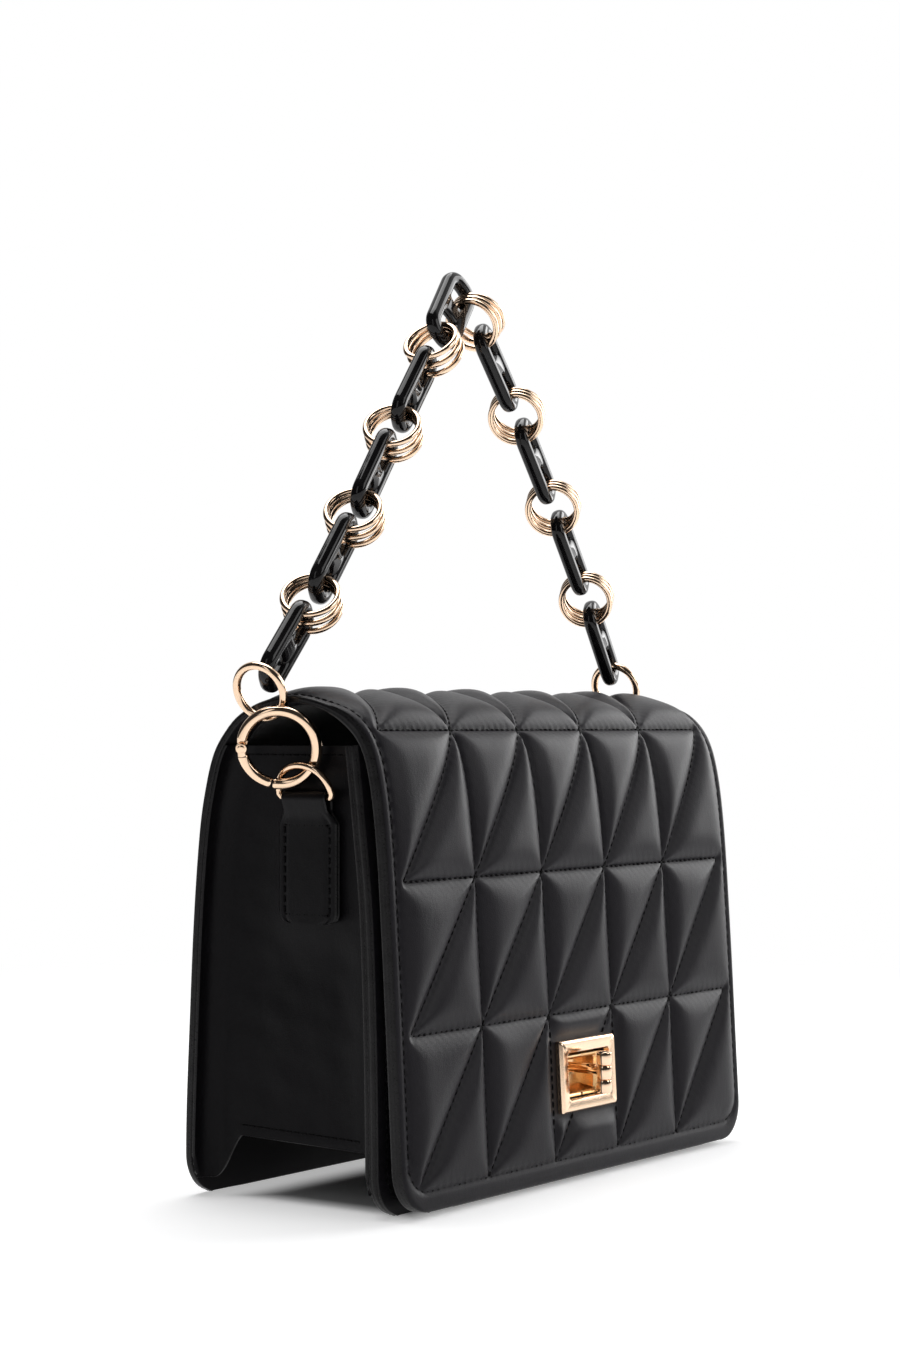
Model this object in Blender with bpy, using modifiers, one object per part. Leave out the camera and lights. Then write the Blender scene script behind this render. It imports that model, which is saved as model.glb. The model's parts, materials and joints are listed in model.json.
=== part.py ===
"""Quilted crossbody bag: a boxy flap bag with a turn lock and a short link-and-ring chain handle.

Frame: metres, +Z up, the front faces -Y and +X is to the right seen from the front. The origin is on
the floor at the middle of the bag's width and of its overall depth. The bag stands on the bottom edges
of its front and back panels.
"""
import math

import bmesh
import bpy
from mathutils import Matrix, Vector

# Overall sizes of the body
BODY_WIDTH = 0.2148
BODY_DEPTH = 0.0914
BODY_HEIGHT = 0.1679
CORNER_RADIUS = 0.0140
FLAP_LIFT = 0.0020
SEAT_GAP = 0.0003
CUT_OVERRUN = 0.0200

# Layers of the flap, the back and the front body panel
FLAP_COVER = 0.0012
FLAP_PADDING = 0.0016
FLAP_LINING = 0.0008
BACK_COVER = 0.0010
BACK_BOARD = 0.0009
BACK_LINING = 0.0007
FRONT_COVER = 0.0015
FRONT_BOARD = 0.0018
FRONT_LINING = 0.0007
FRONT_HEIGHT = 0.1515
BOARD_TOP = 0.1440
ROOF_PAD_BOTTOM = 0.1460
HINGE_SETBACK = 0.0347
HINGE_GAP = 0.0004
LINING_HALF_WIDTH = 0.0965
BOARD_SIDE_INSET = 0.0012

# Gussets and base
GUSSET_LEATHER = 0.0014
GUSSET_INSET = 0.0087
GUSSET_BEND = 0.0072
GUSSET_BOTTOM = 0.0213
GUSSET_TOP = 0.1512
BASE_LEATHER = 0.0014
BASE_BOARD = 0.0013
POCKET_HALF_WIDTH = 0.0620
POCKET_BOTTOM = 0.0560
POCKET_TOP = 0.1260
POCKET_CLOTH = 0.0007

# Side tabs and D-rings
TAB_SETBACK = 0.0437
TAB_WIDTH = 0.0225
TAB_LOOP_WIDTH = 0.0186
TAB_BOTTOM = 0.0955
TAB_SHOULDER = 0.1260
TAB_THICKNESS = 0.0026
TAB_LOOP_RADIUS = 0.0027
D_BAR_HEIGHT = 0.1341
D_WIRE = 0.0024
D_HALF_WIDTH = 0.0110
D_BOW = 0.0116
D_CORNER = 0.0022

# Spring-gate O-rings
O_RADIUS = 0.0124
O_WIRE = 0.0037
GATE_PIVOT_DEG = 180.0
GATE_SPAN_DEG = 77.0
GATE_OVERLAP_DEG = 12.0
GATE_SPLIT = 0.0005
SPLIT_CUT = 0.0080
LAP_RADIUS = 0.0024
LAP_DISC = 0.00195
LAP_GAP = 0.00015
PIN_RADIUS = 0.00075
PIN_HOLE = 0.00105
PIN_HEAD = 0.0013
PIN_HEAD_HEIGHT = 0.0005

# Chain: acrylic links, jump ring sets and single end rings
LINK_LENGTH = 0.0354
LINK_WIDTH = 0.0170
LINK_RAIL = 0.0047
LINK_CORNER = 0.0046
BRIDGE_LENGTH = 0.0068
BRIDGE_THICKNESS = 0.0028
RING_RADIUS = 0.0094
RING_WIRE = 0.0022
RING_NECK = 0.0004
END_RING_RADIUS = 0.0091
END_RING_WIRE = 0.0028
HANDLE_SETBACK = 0.0557
CHAIN_TWIST_DEG = 22.0

# Turn lock
LOCK_HEIGHT = 0.0366
PLATE_WIDTH = 0.0347
PLATE_HEIGHT = 0.0240
PLATE_THICKNESS = 0.0025
PLATE_BEVEL = 0.0007
PLATE_OPENING_WIDTH = 0.0267
PLATE_OPENING_HEIGHT = 0.0168
FLAP_HOLE_WIDTH = 0.0274
FLAP_HOLE_HEIGHT = 0.0196
BACKING_WIDTH = 0.0325
BACKING_HEIGHT = 0.0232
BACKING_THICKNESS = 0.0008
COLLAR_WIDTH = 0.0256
COLLAR_HEIGHT = 0.0150
COLLAR_HOLE_WIDTH = 0.0175
COLLAR_HOLE_HEIGHT = 0.0113
COLLAR_RECESS = 0.0032
COLLAR_RISE = 0.0004
BASE_PLATE_WIDTH = 0.0300
BASE_PLATE_HEIGHT = 0.0200
BASE_PLATE_THICKNESS = 0.0012
KNOB_RISE = 0.0017
KNOB_PROUD = 0.0058
KNOB_LENGTH = 0.0142
KNOB_RADIUS = 0.0027
KNOB_NECK = 0.0019
STEM_RADIUS = 0.0018
STEM_HOLE = 0.0022
STEM_FOOT_RADIUS = 0.0034
STEM_FOOT_THICKNESS = 0.0007
STEM_FOOT_HOLE = 0.0040
WASHER_RADIUS = 0.0070
WASHER_THICKNESS = 0.0008

# Outline of the wrap, from the flap's lower edge over the top to the back's lower edge:
# shares of the body's depth, from its front, and of its height
WRAP_SHARES = (
    (0.000, 0.000), (0.030, 0.310), (0.051, 0.510), (0.075, 0.700), (0.105, 0.828),
    (0.150, 0.908), (0.230, 0.958), (0.345, 0.984), (0.500, 1.000), (0.640, 0.988),
    (0.748, 0.962), (0.815, 0.928), (0.868, 0.885), (0.905, 0.820), (0.937, 0.727),
    (0.965, 0.560), (0.988, 0.300), (1.000, 0.113), (0.998, -0.012),
)
# Outer face of the front body panel, as shares of the body's depth and of the panel's height
FRONT_SHARES = (
    (0.113, -0.012), (0.113, 0.150), (0.121, 0.400), (0.139, 0.647), (0.174, 0.851), (0.204, 1.000),
)
WRAP_STEPS = 2
FRONT_STEPS = 2

# The chain's legs, walked from each end ring up to the apex: the direction above the horizontal, the
# pitch, and how far the ring at the upper end stands back
LEFT_STEPS = ((48.6, 0.0409, 0.0), (52.2, 0.0384, 0.0), (54.4, 0.0382, 0.0), (53.0, 0.0406, 0.0002))
RIGHT_STEPS = ((58.5, 0.0405, 0.0), (55.5, 0.0412, 0.0), (53.1, 0.0411, 0.0), (51.5, 0.0412, 0.0009))

# Where each side's rings hang: outward place, setback from the front, height, then how far each is
# turned about the vertical and leant outward at the top
LEFT_O_RING = (0.1097, 0.04932, 0.1507, 29.8, 15.5)
RIGHT_O_RING = (0.1110, 0.04974, 0.15335, 16.7, 9.8)
LEFT_END_RING = (0.1118, 0.1690, 4.7, 20.8)
RIGHT_END_RING = (0.1069, 0.1729, -4.3, -20.1)
LEFT_D_LEAN_DEG = 20.5
RIGHT_D_LEAN_DEG = 7.0

# The apex link: its middle, and the directions along it and across it; and through its two ring sets
APEX_LINK = (-0.0015, 0.0580, 0.3085)
APEX_ALONG = (0.689, 0.185, 0.701)
APEX_ACROSS = (0.725, -0.162, -0.670)
LEFT_APEX_RING = (0.792, 0.129, -0.597)
RIGHT_APEX_RING = (0.778, 0.118, 0.617)

RING_STEPS = 18
TUBE_SIDES = 2
HOLE_STEPS = 16
CORNER_STEPS = 5

# Colours, roughness and metallic value, from the photograph
FINISHES = {
    "faux_leather": ((0.030, 0.029, 0.031), 0.42, 0.0),
    "lining_cloth": ((0.035, 0.033, 0.035), 0.85, 0.0),
    "padding_foam": ((0.180, 0.175, 0.170), 0.95, 0.0),
    "stiffener_board": ((0.230, 0.200, 0.160), 0.90, 0.0),
    "gold_metal": ((0.860, 0.640, 0.430), 0.22, 1.0),
    "black_acrylic": ((0.012, 0.011, 0.012), 0.12, 0.0),
}


def clear_scene():
    for old in list(bpy.data.objects):
        bpy.data.objects.remove(old)


def make_collections():
    parts = bpy.data.collections.new("quilted_crossbody_bag")
    tools = bpy.data.collections.new("cutters_and_guides")
    for collection in (parts, tools):
        bpy.context.scene.collection.children.link(collection)
    return parts, tools


def make_finish(node, slot):
    colour, roughness, metallic = FINISHES[slot]
    material = bpy.data.materials.new(node + "_finish")
    material.use_nodes = True
    shader = material.node_tree.nodes["Principled BSDF"]
    shader.inputs["Base Color"].default_value = (*colour, 1)
    shader.inputs["Roughness"].default_value = roughness
    shader.inputs["Metallic"].default_value = metallic
    material.diffuse_color = (*colour, 1)
    return material


def face_outward(shape):
    bmesh.ops.recalc_face_normals(shape, faces=shape.faces)
    if shape.calc_volume(signed=True) < 0:
        bmesh.ops.reverse_faces(shape, faces=shape.faces)


class Bench:
    """Keeps the two collections and turns meshes into finished pieces."""

    def __init__(self):
        self.parts, self.tools = make_collections()

    def piece(self, name, mesh, slot, matrix=None):
        own = mesh.copy() if mesh.users else mesh
        own.name = name
        own.materials.clear()
        own.materials.append(make_finish(name, slot))
        own.shade_smooth()
        own.set_sharp_from_angle(angle=math.radians(35))
        made = bpy.data.objects.new(name, own)
        self.parts.objects.link(made)
        if matrix is not None:
            made.matrix_world = matrix
        return made

    def cutter(self, name, mesh, matrix=None):
        made = bpy.data.objects.new(name, mesh)
        made.hide_render = True
        made.display_type = 'WIRE'
        self.tools.objects.link(made)
        if matrix is not None:
            made.matrix_world = matrix
        return made

    def solid_of(self, curve, matrix=None):
        """The closed mesh of a curve, with its caps welded on."""
        holder = bpy.data.objects.new(curve.name + "_guide", curve)
        self.tools.objects.link(holder)
        bpy.context.view_layer.update()
        graph = bpy.context.evaluated_depsgraph_get()
        mesh = bpy.data.meshes.new_from_object(holder.evaluated_get(graph))
        bpy.data.objects.remove(holder)
        shape = bmesh.new()
        shape.from_mesh(mesh)
        bmesh.ops.remove_doubles(shape, verts=shape.verts, dist=0.00001)
        if matrix is not None:
            shape.transform(matrix)
        face_outward(shape)
        shape.to_mesh(mesh)
        shape.free()
        return mesh

    def settled(self, made, name):
        """The evaluated mesh of a piece whose modifiers are done, with the piece itself removed."""
        bpy.context.view_layer.update()
        graph = bpy.context.evaluated_depsgraph_get()
        mesh = bpy.data.meshes.new_from_object(made.evaluated_get(graph))
        mesh.name = name
        bpy.data.objects.remove(made)
        return mesh


def combine(made, other, operation):
    change = made.modifiers.new(operation.lower() + "_" + other.name, 'BOOLEAN')
    change.operation = operation
    change.object = other
    change.solver = 'EXACT'
    return made


def smooth_path(knots, steps):
    """Points of a Catmull-Rom curve through the knots, with steps points for each stretch."""
    ends = [knots[0]] + list(knots) + [knots[-1]]
    points = []
    for before, start, end, after in zip(ends, ends[1:], ends[2:], ends[3:]):
        for step in range(steps):
            t = step / steps
            weights = (
                -t ** 3 / 2 + t ** 2 - t / 2,
                3 * t ** 3 / 2 - 5 * t ** 2 / 2 + 1,
                -3 * t ** 3 / 2 + 2 * t ** 2 + t / 2,
                t ** 3 / 2 - t ** 2 / 2,
            )
            corners = (before, start, end, after)
            points.append(sum((w * c for w, c in zip(weights, corners)), Vector((0, 0))))
    points.append(knots[-1].copy())
    return points


def inward(points, distance):
    """The path moved to its right-hand side by a distance, which is inward on these outlines."""
    moved = []
    for index, point in enumerate(points):
        before = points[max(index - 1, 0)]
        after = points[min(index + 1, len(points) - 1)]
        along = (after - before).normalized()
        moved.append(point + distance * Vector((along.y, -along.x)))
    return moved


def across(points, level, axis):
    """Where a path crosses a level on one axis, as an index with a fraction."""
    for index, (start, end) in enumerate(zip(points, points[1:])):
        low, high = sorted((start[axis], end[axis]))
        if low <= level <= high and high > low:
            return index + (level - start[axis]) / (end[axis] - start[axis])
    return None


def at_index(points, place):
    index = min(int(place), len(points) - 2)
    return points[index].lerp(points[index + 1], place - index)


def stretch_between(points, first, last):
    """The part of a path between two fractional indexes."""
    middle = [points[i] for i in range(math.ceil(first), math.floor(last) + 1) if first < i < last]
    return [at_index(points, first)] + middle + [at_index(points, last)]


def front_plane_y():
    """The wrap's front, placed so that the overall depth is centred on the origin."""
    return -(BODY_DEPTH + lock_reach()) / 2 + lock_reach()


def lock_reach():
    """How far the knob stands in front of the wrap's foremost line."""
    path = [Vector((d * BODY_DEPTH, h * BODY_HEIGHT)) for d, h in WRAP_SHARES]
    path = smooth_path(path, WRAP_STEPS)
    face = at_index(path, across(path, LOCK_HEIGHT, 1)).x
    return SEAT_GAP + PLATE_THICKNESS + KNOB_PROUD + KNOB_RADIUS - face


FRONT_Y = front_plane_y()
HALF_WIDTH = BODY_WIDTH / 2
WEB_X = HALF_WIDTH - GUSSET_INSET
HANDLE_Y = FRONT_Y + HANDLE_SETBACK
FLAP_TOTAL = FLAP_COVER + FLAP_PADDING + FLAP_LINING + 2 * SEAT_GAP
BACK_INNER = BACK_COVER + BACK_BOARD + 2 * SEAT_GAP
FRONT_INNER = FRONT_COVER + FRONT_BOARD + 2 * SEAT_GAP


def wrap_path():
    knots = [Vector((FRONT_Y + d * BODY_DEPTH, h * BODY_HEIGHT)) for d, h in WRAP_SHARES]
    return smooth_path(knots, WRAP_STEPS)


def front_path():
    knots = [Vector((FRONT_Y + d * BODY_DEPTH, h * FRONT_HEIGHT)) for d, h in FRONT_SHARES]
    return smooth_path(knots, FRONT_STEPS)


def hinge_place(path):
    """The hinge's place on the wrap: on its outer face, over the front of the roof."""
    return across(path, FRONT_Y + HINGE_SETBACK, 0)


def hinge_point():
    path = wrap_path()
    return at_index(path, hinge_place(path))


def outline_curve(name, points, half_depth):
    """A flat closed outline, thickened by half_depth to both sides."""
    curve = bpy.data.curves.new(name, 'CURVE')
    curve.dimensions = '2D'
    curve.fill_mode = 'BOTH'
    curve.extrude = half_depth
    spline = curve.splines.new('POLY')
    spline.points.add(len(points) - 1)
    for knot, point in zip(spline.points, points):
        knot.co = (point[0], point[1], 0, 1)
    spline.use_cyclic_u = True
    return curve


def tube_curve(name, points, wire, cyclic):
    curve = bpy.data.curves.new(name, 'CURVE')
    curve.dimensions = '3D'
    curve.bevel_depth = wire / 2
    curve.bevel_resolution = TUBE_SIDES
    curve.use_fill_caps = True
    spline = curve.splines.new('POLY')
    spline.points.add(len(points) - 1)
    for knot, point in zip(spline.points, points):
        knot.co = (*point, 1)
    spline.use_cyclic_u = cyclic
    return curve


# A drawing in a side view (Y to the right, Z up) thickened along X, and one in the front view
SIDE_VIEW = Matrix(((0, 0, 1, 0), (1, 0, 0, 0), (0, 1, 0, 0), (0, 0, 0, 1)))
FRONT_VIEW = Matrix(((1, 0, 0, 0), (0, 0, -1, 0), (0, 1, 0, 0), (0, 0, 0, 1)))


def arc(centre, radius, start_deg, end_deg, steps):
    turns = [math.radians(start_deg + (end_deg - start_deg) * i / steps) for i in range(steps + 1)]
    return [(centre[0] + radius * math.cos(t), centre[1] + radius * math.sin(t)) for t in turns]


def rounded_rectangle(half_width, half_height, radius, steps):
    corners = ((1, 1, 0), (-1, 1, 90), (-1, -1, 180), (1, -1, 270))
    points = []
    for side, level, start in corners:
        middle = (side * (half_width - radius), level * (half_height - radius))
        points += arc(middle, radius, start, start + 90, steps)
    return points


def blank_outline(half_width, bottom, top, radius):
    """A panel's front outline, with its two lower corners rounded."""
    left = arc((radius - half_width, bottom + radius), radius, 180, 270, CORNER_STEPS)
    right = arc((half_width - radius, bottom + radius), radius, 270, 360, CORNER_STEPS)
    return left + right + [(half_width, top), (-half_width, top)]


def layer_mesh(bench, name, outer, inner, half_width):
    """One layer of a panel: the strip between two side-view paths, across the bag."""
    outline = [tuple(p) for p in outer] + [tuple(p) for p in reversed(inner)]
    return bench.solid_of(outline_curve(name, outline, half_width), SIDE_VIEW)


def cut_layer(path, outer, inner, first, last):
    """The two faces of a layer, given as depths from the path, between two places on it."""
    faces = []
    for depth in (outer, inner):
        faces.append(stretch_between(inward(path, depth), first, last))
    return faces


def box_mesh(name, low, high):
    shape = bmesh.new()
    bmesh.ops.create_cube(shape, size=1)
    size = Vector(high) - Vector(low)
    middle = (Vector(high) + Vector(low)) / 2
    bmesh.ops.scale(shape, vec=size, verts=shape.verts)
    bmesh.ops.translate(shape, vec=middle, verts=shape.verts)
    mesh = bpy.data.meshes.new(name)
    shape.to_mesh(mesh)
    shape.free()
    return mesh


def rod_mesh(name, radius, start, end, steps):
    """A closed rod between two points."""
    start, end = Vector(start), Vector(end)
    shape = bmesh.new()
    bmesh.ops.create_cone(
        shape, cap_ends=True, segments=steps, radius1=radius, radius2=radius, depth=(end - start).length)
    turn = (end - start).to_track_quat('Z', 'Y').to_matrix().to_4x4()
    bmesh.ops.transform(shape, matrix=Matrix.Translation((start + end) / 2) @ turn, verts=shape.verts)
    mesh = bpy.data.meshes.new(name)
    shape.to_mesh(mesh)
    shape.free()
    return mesh


def turned_mesh(bench, name, profile, steps):
    """A closed ring or knob from a profile of (radius, height) turned about the Z axis."""
    mesh = bpy.data.meshes.new(name)
    closed = min(r for r, _ in profile) > 0
    edges = [(i, i + 1) for i in range(len(profile) - 1)]
    if closed:
        edges.append((len(profile) - 1, 0))
    mesh.from_pydata([(r, 0, z) for r, z in profile], edges, [])
    blank = bench.cutter(name + "_profile", mesh)
    turn = blank.modifiers.new("turn", 'SCREW')
    turn.steps = steps
    turn.render_steps = steps
    turn.use_merge_vertices = True
    turn.merge_threshold = 0.00001
    solid = bench.settled(blank, name)
    shape = bmesh.new()
    shape.from_mesh(solid)
    face_outward(shape)
    shape.to_mesh(solid)
    shape.free()
    return solid


def frame_of(origin, along, across_way):
    """A placement whose X runs along, Y across and Z through, squared up from two directions."""
    x = Vector(along).normalized()
    z = x.cross(Vector(across_way)).normalized()
    y = z.cross(x)
    return Matrix.Translation(origin) @ Matrix((x, y, z)).transposed().to_4x4()


def joint_empty(bench, name, point, parent=None):
    holder = bpy.data.objects.new(name, None)
    holder.empty_display_size = SEAT_GAP
    bench.tools.objects.link(holder)
    holder.matrix_world = Matrix.Translation(point)
    if parent is not None:
        hang(holder, parent)
    return holder


def hang(made, parent):
    bpy.context.view_layer.update()
    made.parent = parent
    made.matrix_parent_inverse = parent.matrix_world.inverted()


def build_flap(bench):
    """The quilted flap: cover, foam and lining, cut to the blank and pierced for the lock."""
    path = wrap_path()
    hinge = hinge_place(path)
    step = (path[math.ceil(hinge)] - path[math.floor(hinge)]).length
    last = hinge - HINGE_GAP / 2 / step
    blank = bench.solid_of(outline_curve("flap_blank", blank_outline(
        HALF_WIDTH, FLAP_LIFT, BODY_HEIGHT + CUT_OVERRUN, CORNER_RADIUS), BODY_DEPTH), FRONT_VIEW)
    blank = bench.cutter("flap_blank", blank)
    hole = bench.cutter("flap_lock_hole", box_mesh(
        "flap_lock_hole",
        (-FLAP_HOLE_WIDTH / 2, FRONT_Y - CUT_OVERRUN, LOCK_HEIGHT - FLAP_HOLE_HEIGHT / 2),
        (FLAP_HOLE_WIDTH / 2, FRONT_Y + CUT_OVERRUN, LOCK_HEIGHT + FLAP_HOLE_HEIGHT / 2)))
    holder = joint_empty(bench, "flap_hinge_line", (0, *hinge_point()))
    layers = (("flap_cover", FLAP_COVER, "faux_leather"), ("flap_padding", FLAP_PADDING, "padding_foam"),
              ("flap_lining", FLAP_LINING, "lining_cloth"))
    depth = 0
    for name, thickness, slot in layers:
        outer, inner = cut_layer(path, depth, depth + thickness, 0, last)
        mesh = layer_mesh(bench, name, outer, inner, HALF_WIDTH)
        made = bench.piece(name, mesh, slot)
        combine(made, blank, 'INTERSECT')
        combine(made, hole, 'DIFFERENCE')
        hang(made, holder)
        depth += thickness + SEAT_GAP
    return holder


def build_back(bench):
    """The back: cover with the fixed part of the roof, board, roof padding, lining and pocket."""
    path = wrap_path()
    hinge = hinge_place(path)
    end = len(path) - 1
    step = (path[math.ceil(hinge)] - path[math.floor(hinge)]).length
    first = hinge + HINGE_GAP / 2 / step
    blank = bench.solid_of(outline_curve("back_blank", blank_outline(
        HALF_WIDTH, 0, BODY_HEIGHT + CUT_OVERRUN, CORNER_RADIUS), BODY_DEPTH), FRONT_VIEW)
    blank = bench.cutter("back_blank", blank)
    top = first + across(path[math.ceil(first):], BOARD_TOP, 1) + math.ceil(first) - first
    roof = first + across(path[math.ceil(first):], ROOF_PAD_BOTTOM, 1) + math.ceil(first) - first
    base = GUSSET_BOTTOM + BASE_LEATHER + BASE_BOARD + 3 * SEAT_GAP
    foot = first + across(path[math.ceil(first):], base, 1) + math.ceil(first) - first
    low = first + across(path[math.ceil(first):], POCKET_BOTTOM, 1) + math.ceil(first) - first
    high = first + across(path[math.ceil(first):], POCKET_TOP, 1) + math.ceil(first) - first
    board = BACK_COVER + SEAT_GAP
    pocket = BACK_INNER + BACK_LINING + SEAT_GAP
    layers = (
        ("back_cover", 0, BACK_COVER, first, end, HALF_WIDTH, "faux_leather"),
        ("back_board", board, board + BACK_BOARD, top, end, HALF_WIDTH - BOARD_SIDE_INSET,
         "stiffener_board"),
        ("roof_padding", board, board + BACK_BOARD, first, roof, HALF_WIDTH - BOARD_SIDE_INSET,
         "padding_foam"),
        ("back_lining", BACK_INNER, BACK_INNER + BACK_LINING, first, foot, LINING_HALF_WIDTH,
         "lining_cloth"),
        ("slip_pocket", pocket, pocket + POCKET_CLOTH, high, low, POCKET_HALF_WIDTH, "lining_cloth"),
    )
    for name, outer, inner, start, stop, half_width, slot in layers:
        faces = cut_layer(path, outer, inner, start, stop)
        made = bench.piece(name, layer_mesh(bench, name, *faces, half_width), slot)
        if name in ("back_cover", "back_board"):
            combine(made, blank, 'INTERSECT')


def build_front(bench):
    """The front body panel behind the flap: cover, board and lining, pierced for the lock's stem."""
    path = front_path()
    end = len(path) - 1
    base = GUSSET_BOTTOM + BASE_LEATHER + BASE_BOARD + 3 * SEAT_GAP
    foot = across(path, base, 1)
    blank = bench.solid_of(outline_curve("front_blank", blank_outline(
        HALF_WIDTH, 0, BODY_HEIGHT, CORNER_RADIUS), BODY_DEPTH), FRONT_VIEW)
    blank = bench.cutter("front_blank", blank)
    height = LOCK_HEIGHT + KNOB_RISE
    hole = bench.cutter("front_stem_hole", rod_mesh(
        "front_stem_hole", STEM_FOOT_HOLE, (0, FRONT_Y - CUT_OVERRUN, height),
        (0, FRONT_Y + CUT_OVERRUN, height), HOLE_STEPS))
    board = FRONT_COVER + SEAT_GAP
    layers = (
        ("front_cover", 0, FRONT_COVER, 0, HALF_WIDTH, "faux_leather"),
        ("front_board", board, board + FRONT_BOARD, 0, HALF_WIDTH - BOARD_SIDE_INSET,
         "stiffener_board"),
        ("front_lining", FRONT_INNER, FRONT_INNER + FRONT_LINING, foot, LINING_HALF_WIDTH,
         "lining_cloth"),
    )
    for name, outer, inner, start, half_width, slot in layers:
        faces = cut_layer(path, outer, inner, start, end)
        made = bench.piece(name, layer_mesh(bench, name, *faces, half_width), slot)
        if name != "front_lining":
            combine(made, blank, 'INTERSECT')
            combine(made, hole, 'DIFFERENCE')


def inner_faces(height):
    """The Y of the front panel's and of the back panel's inner faces at a height."""
    front = inward(front_path(), FRONT_INNER)
    back = inward(wrap_path(), BACK_INNER)
    half = len(back) // 2
    front_level = min(height, front[-1].y)
    front_y = at_index(front, across(front, front_level, 1)).x
    back_y = at_index(back[half:], across(back[half:], height, 1)).x
    return front_y, back_y


def gusset_section(height, side):
    """One level of a gusset: flange, soft bend, web, soft bend, flange, on the leather's mid line."""
    front, back = inner_faces(height)
    front += GUSSET_LEATHER / 2
    back -= GUSSET_LEATHER / 2
    bend = GUSSET_BEND
    points = [(HALF_WIDTH, front)]
    points += [(x, y) for x, y in arc((WEB_X + bend, front + bend), bend, 270, 180, CORNER_STEPS)]
    points += [(x, y) for x, y in arc((WEB_X + bend, back - bend), bend, 180, 90, CORNER_STEPS)]
    points.append((HALF_WIDTH, back))
    return [Vector((side * x, y, height)) for x, y in points]


def build_gusset(bench, name, side):
    """A side gusset, lofted between levels because the bag is deeper at its foot than at its top."""
    levels = 6
    heights = [GUSSET_BOTTOM + (GUSSET_TOP - GUSSET_BOTTOM) * i / levels for i in range(levels + 1)]
    rows = [gusset_section(height, side) for height in heights]
    shape = bmesh.new()
    grid = [[shape.verts.new(point) for point in row] for row in rows]
    for low, high in zip(grid, grid[1:]):
        for i in range(len(low) - 1):
            shape.faces.new((low[i], low[i + 1], high[i + 1], high[i]))
    mesh = bpy.data.meshes.new(name)
    shape.to_mesh(mesh)
    shape.free()
    made = bench.piece(name, mesh, "faux_leather")
    wall = made.modifiers.new("leather", 'SOLIDIFY')
    wall.thickness = GUSSET_LEATHER
    wall.offset = 0
    return made


def build_base(bench):
    """The recessed base between the panels: leather and its stiffening board."""
    bottom = GUSSET_BOTTOM + SEAT_GAP
    half_width = WEB_X - GUSSET_LEATHER / 2 - SEAT_GAP
    for name, thickness, slot in (("base_panel", BASE_LEATHER, "faux_leather"),
                                  ("base_board", BASE_BOARD, "stiffener_board")):
        front, back = inner_faces(bottom + thickness)
        low = (-half_width, front + SEAT_GAP, bottom)
        high = (half_width, back - SEAT_GAP, bottom + thickness)
        made = bench.piece(name, box_mesh(name, low, high), slot)
        flanges = bench.cutter(name + "_corners", box_mesh(
            name + "_corners", (-half_width, low[1] - CUT_OVERRUN, bottom - CUT_OVERRUN),
            (half_width, high[1] + CUT_OVERRUN, bottom + CUT_OVERRUN)))
        combine(made, flanges, 'INTERSECT')
        bottom += thickness + SEAT_GAP


def tab_face():
    return WEB_X + GUSSET_LEATHER / 2 + SEAT_GAP


def d_bar_point(side):
    out = tab_face() + TAB_LOOP_RADIUS
    return Vector((side * out, FRONT_Y + TAB_SETBACK, D_BAR_HEIGHT))


def build_tab(bench, name, side):
    """A leather tab on the gusset, folded over the D-ring's bar at its top."""
    face = tab_face()
    bar = d_bar_point(1)
    outline = [(face, TAB_BOTTOM), (face + TAB_THICKNESS, TAB_BOTTOM)]
    outline += arc((bar.x, bar.z), TAB_LOOP_RADIUS, -60, 180, 10)
    outline = [(side * x, z) for x, z in outline]
    middle = Matrix.Translation((0, bar.y, 0))
    strap = bench.solid_of(outline_curve(name, outline, TAB_WIDTH / 2), middle @ FRONT_VIEW)
    made = bench.piece(name, strap, "faux_leather")
    bar_hole = bench.cutter(name + "_bar_hole", rod_mesh(
        name + "_bar_hole", D_WIRE / 2 + SEAT_GAP, (side * bar.x, bar.y - TAB_WIDTH, bar.z),
        (side * bar.x, bar.y + TAB_WIDTH, bar.z), HOLE_STEPS))
    combine(made, bar_hole, 'DIFFERENCE')
    for word, way in (("front", -1), ("back", 1)):
        edge = bar.y + way * TAB_LOOP_WIDTH / 2
        far = bar.y + way * TAB_WIDTH
        low, high = sorted((edge, far))
        notch = bench.cutter(name + "_" + word + "_shoulder", box_mesh(
            name + "_" + word + "_shoulder",
            (min(side * face, side * bar.x) - CUT_OVERRUN, low, TAB_SHOULDER),
            (max(side * face, side * bar.x) + CUT_OVERRUN, high, bar.z + CUT_OVERRUN)))
        combine(made, notch, 'DIFFERENCE')
    return made


def d_ring_points():
    """The D-ring's centre line: X along its bar, Y up its bow."""
    bow = [(D_HALF_WIDTH * math.cos(math.radians(turn)), D_BOW * math.sin(math.radians(turn)) ** 0.85)
           for turn in range(12, 180, 13)]
    corner = D_CORNER
    right = arc((D_HALF_WIDTH - corner, corner), corner, 270, 340, 2)
    left = arc((corner - D_HALF_WIDTH, corner), corner, 200, 270, 2)
    return [(x, y, 0) for x, y in right + bow + left]


def d_ring_frame(side):
    lean = math.radians(LEFT_D_LEAN_DEG if side < 0 else RIGHT_D_LEAN_DEG)
    up = Vector((side * math.sin(lean), 0, math.cos(lean)))
    return frame_of(d_bar_point(side), (0, 1, 0), up)


def facing(origin, through):
    """A ring's placement: Z through its hole, X level, Y up in its plane."""
    through = Vector(through).normalized()
    flat = Vector((0, 0, 1)).cross(through).normalized()
    up = through.cross(flat)
    return Matrix.Translation(origin) @ Matrix((flat, up, through)).transposed().to_4x4()


def ring_frame(origin, side, turn_deg, lean_deg):
    """The placement of a ring at the bag's side, whose hole looks outward."""
    turn, lean = math.radians(turn_deg), math.radians(lean_deg)
    return facing(origin, (side * math.cos(turn) * math.cos(lean), -math.sin(turn) * math.cos(lean),
                           -math.sin(lean)))


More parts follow.
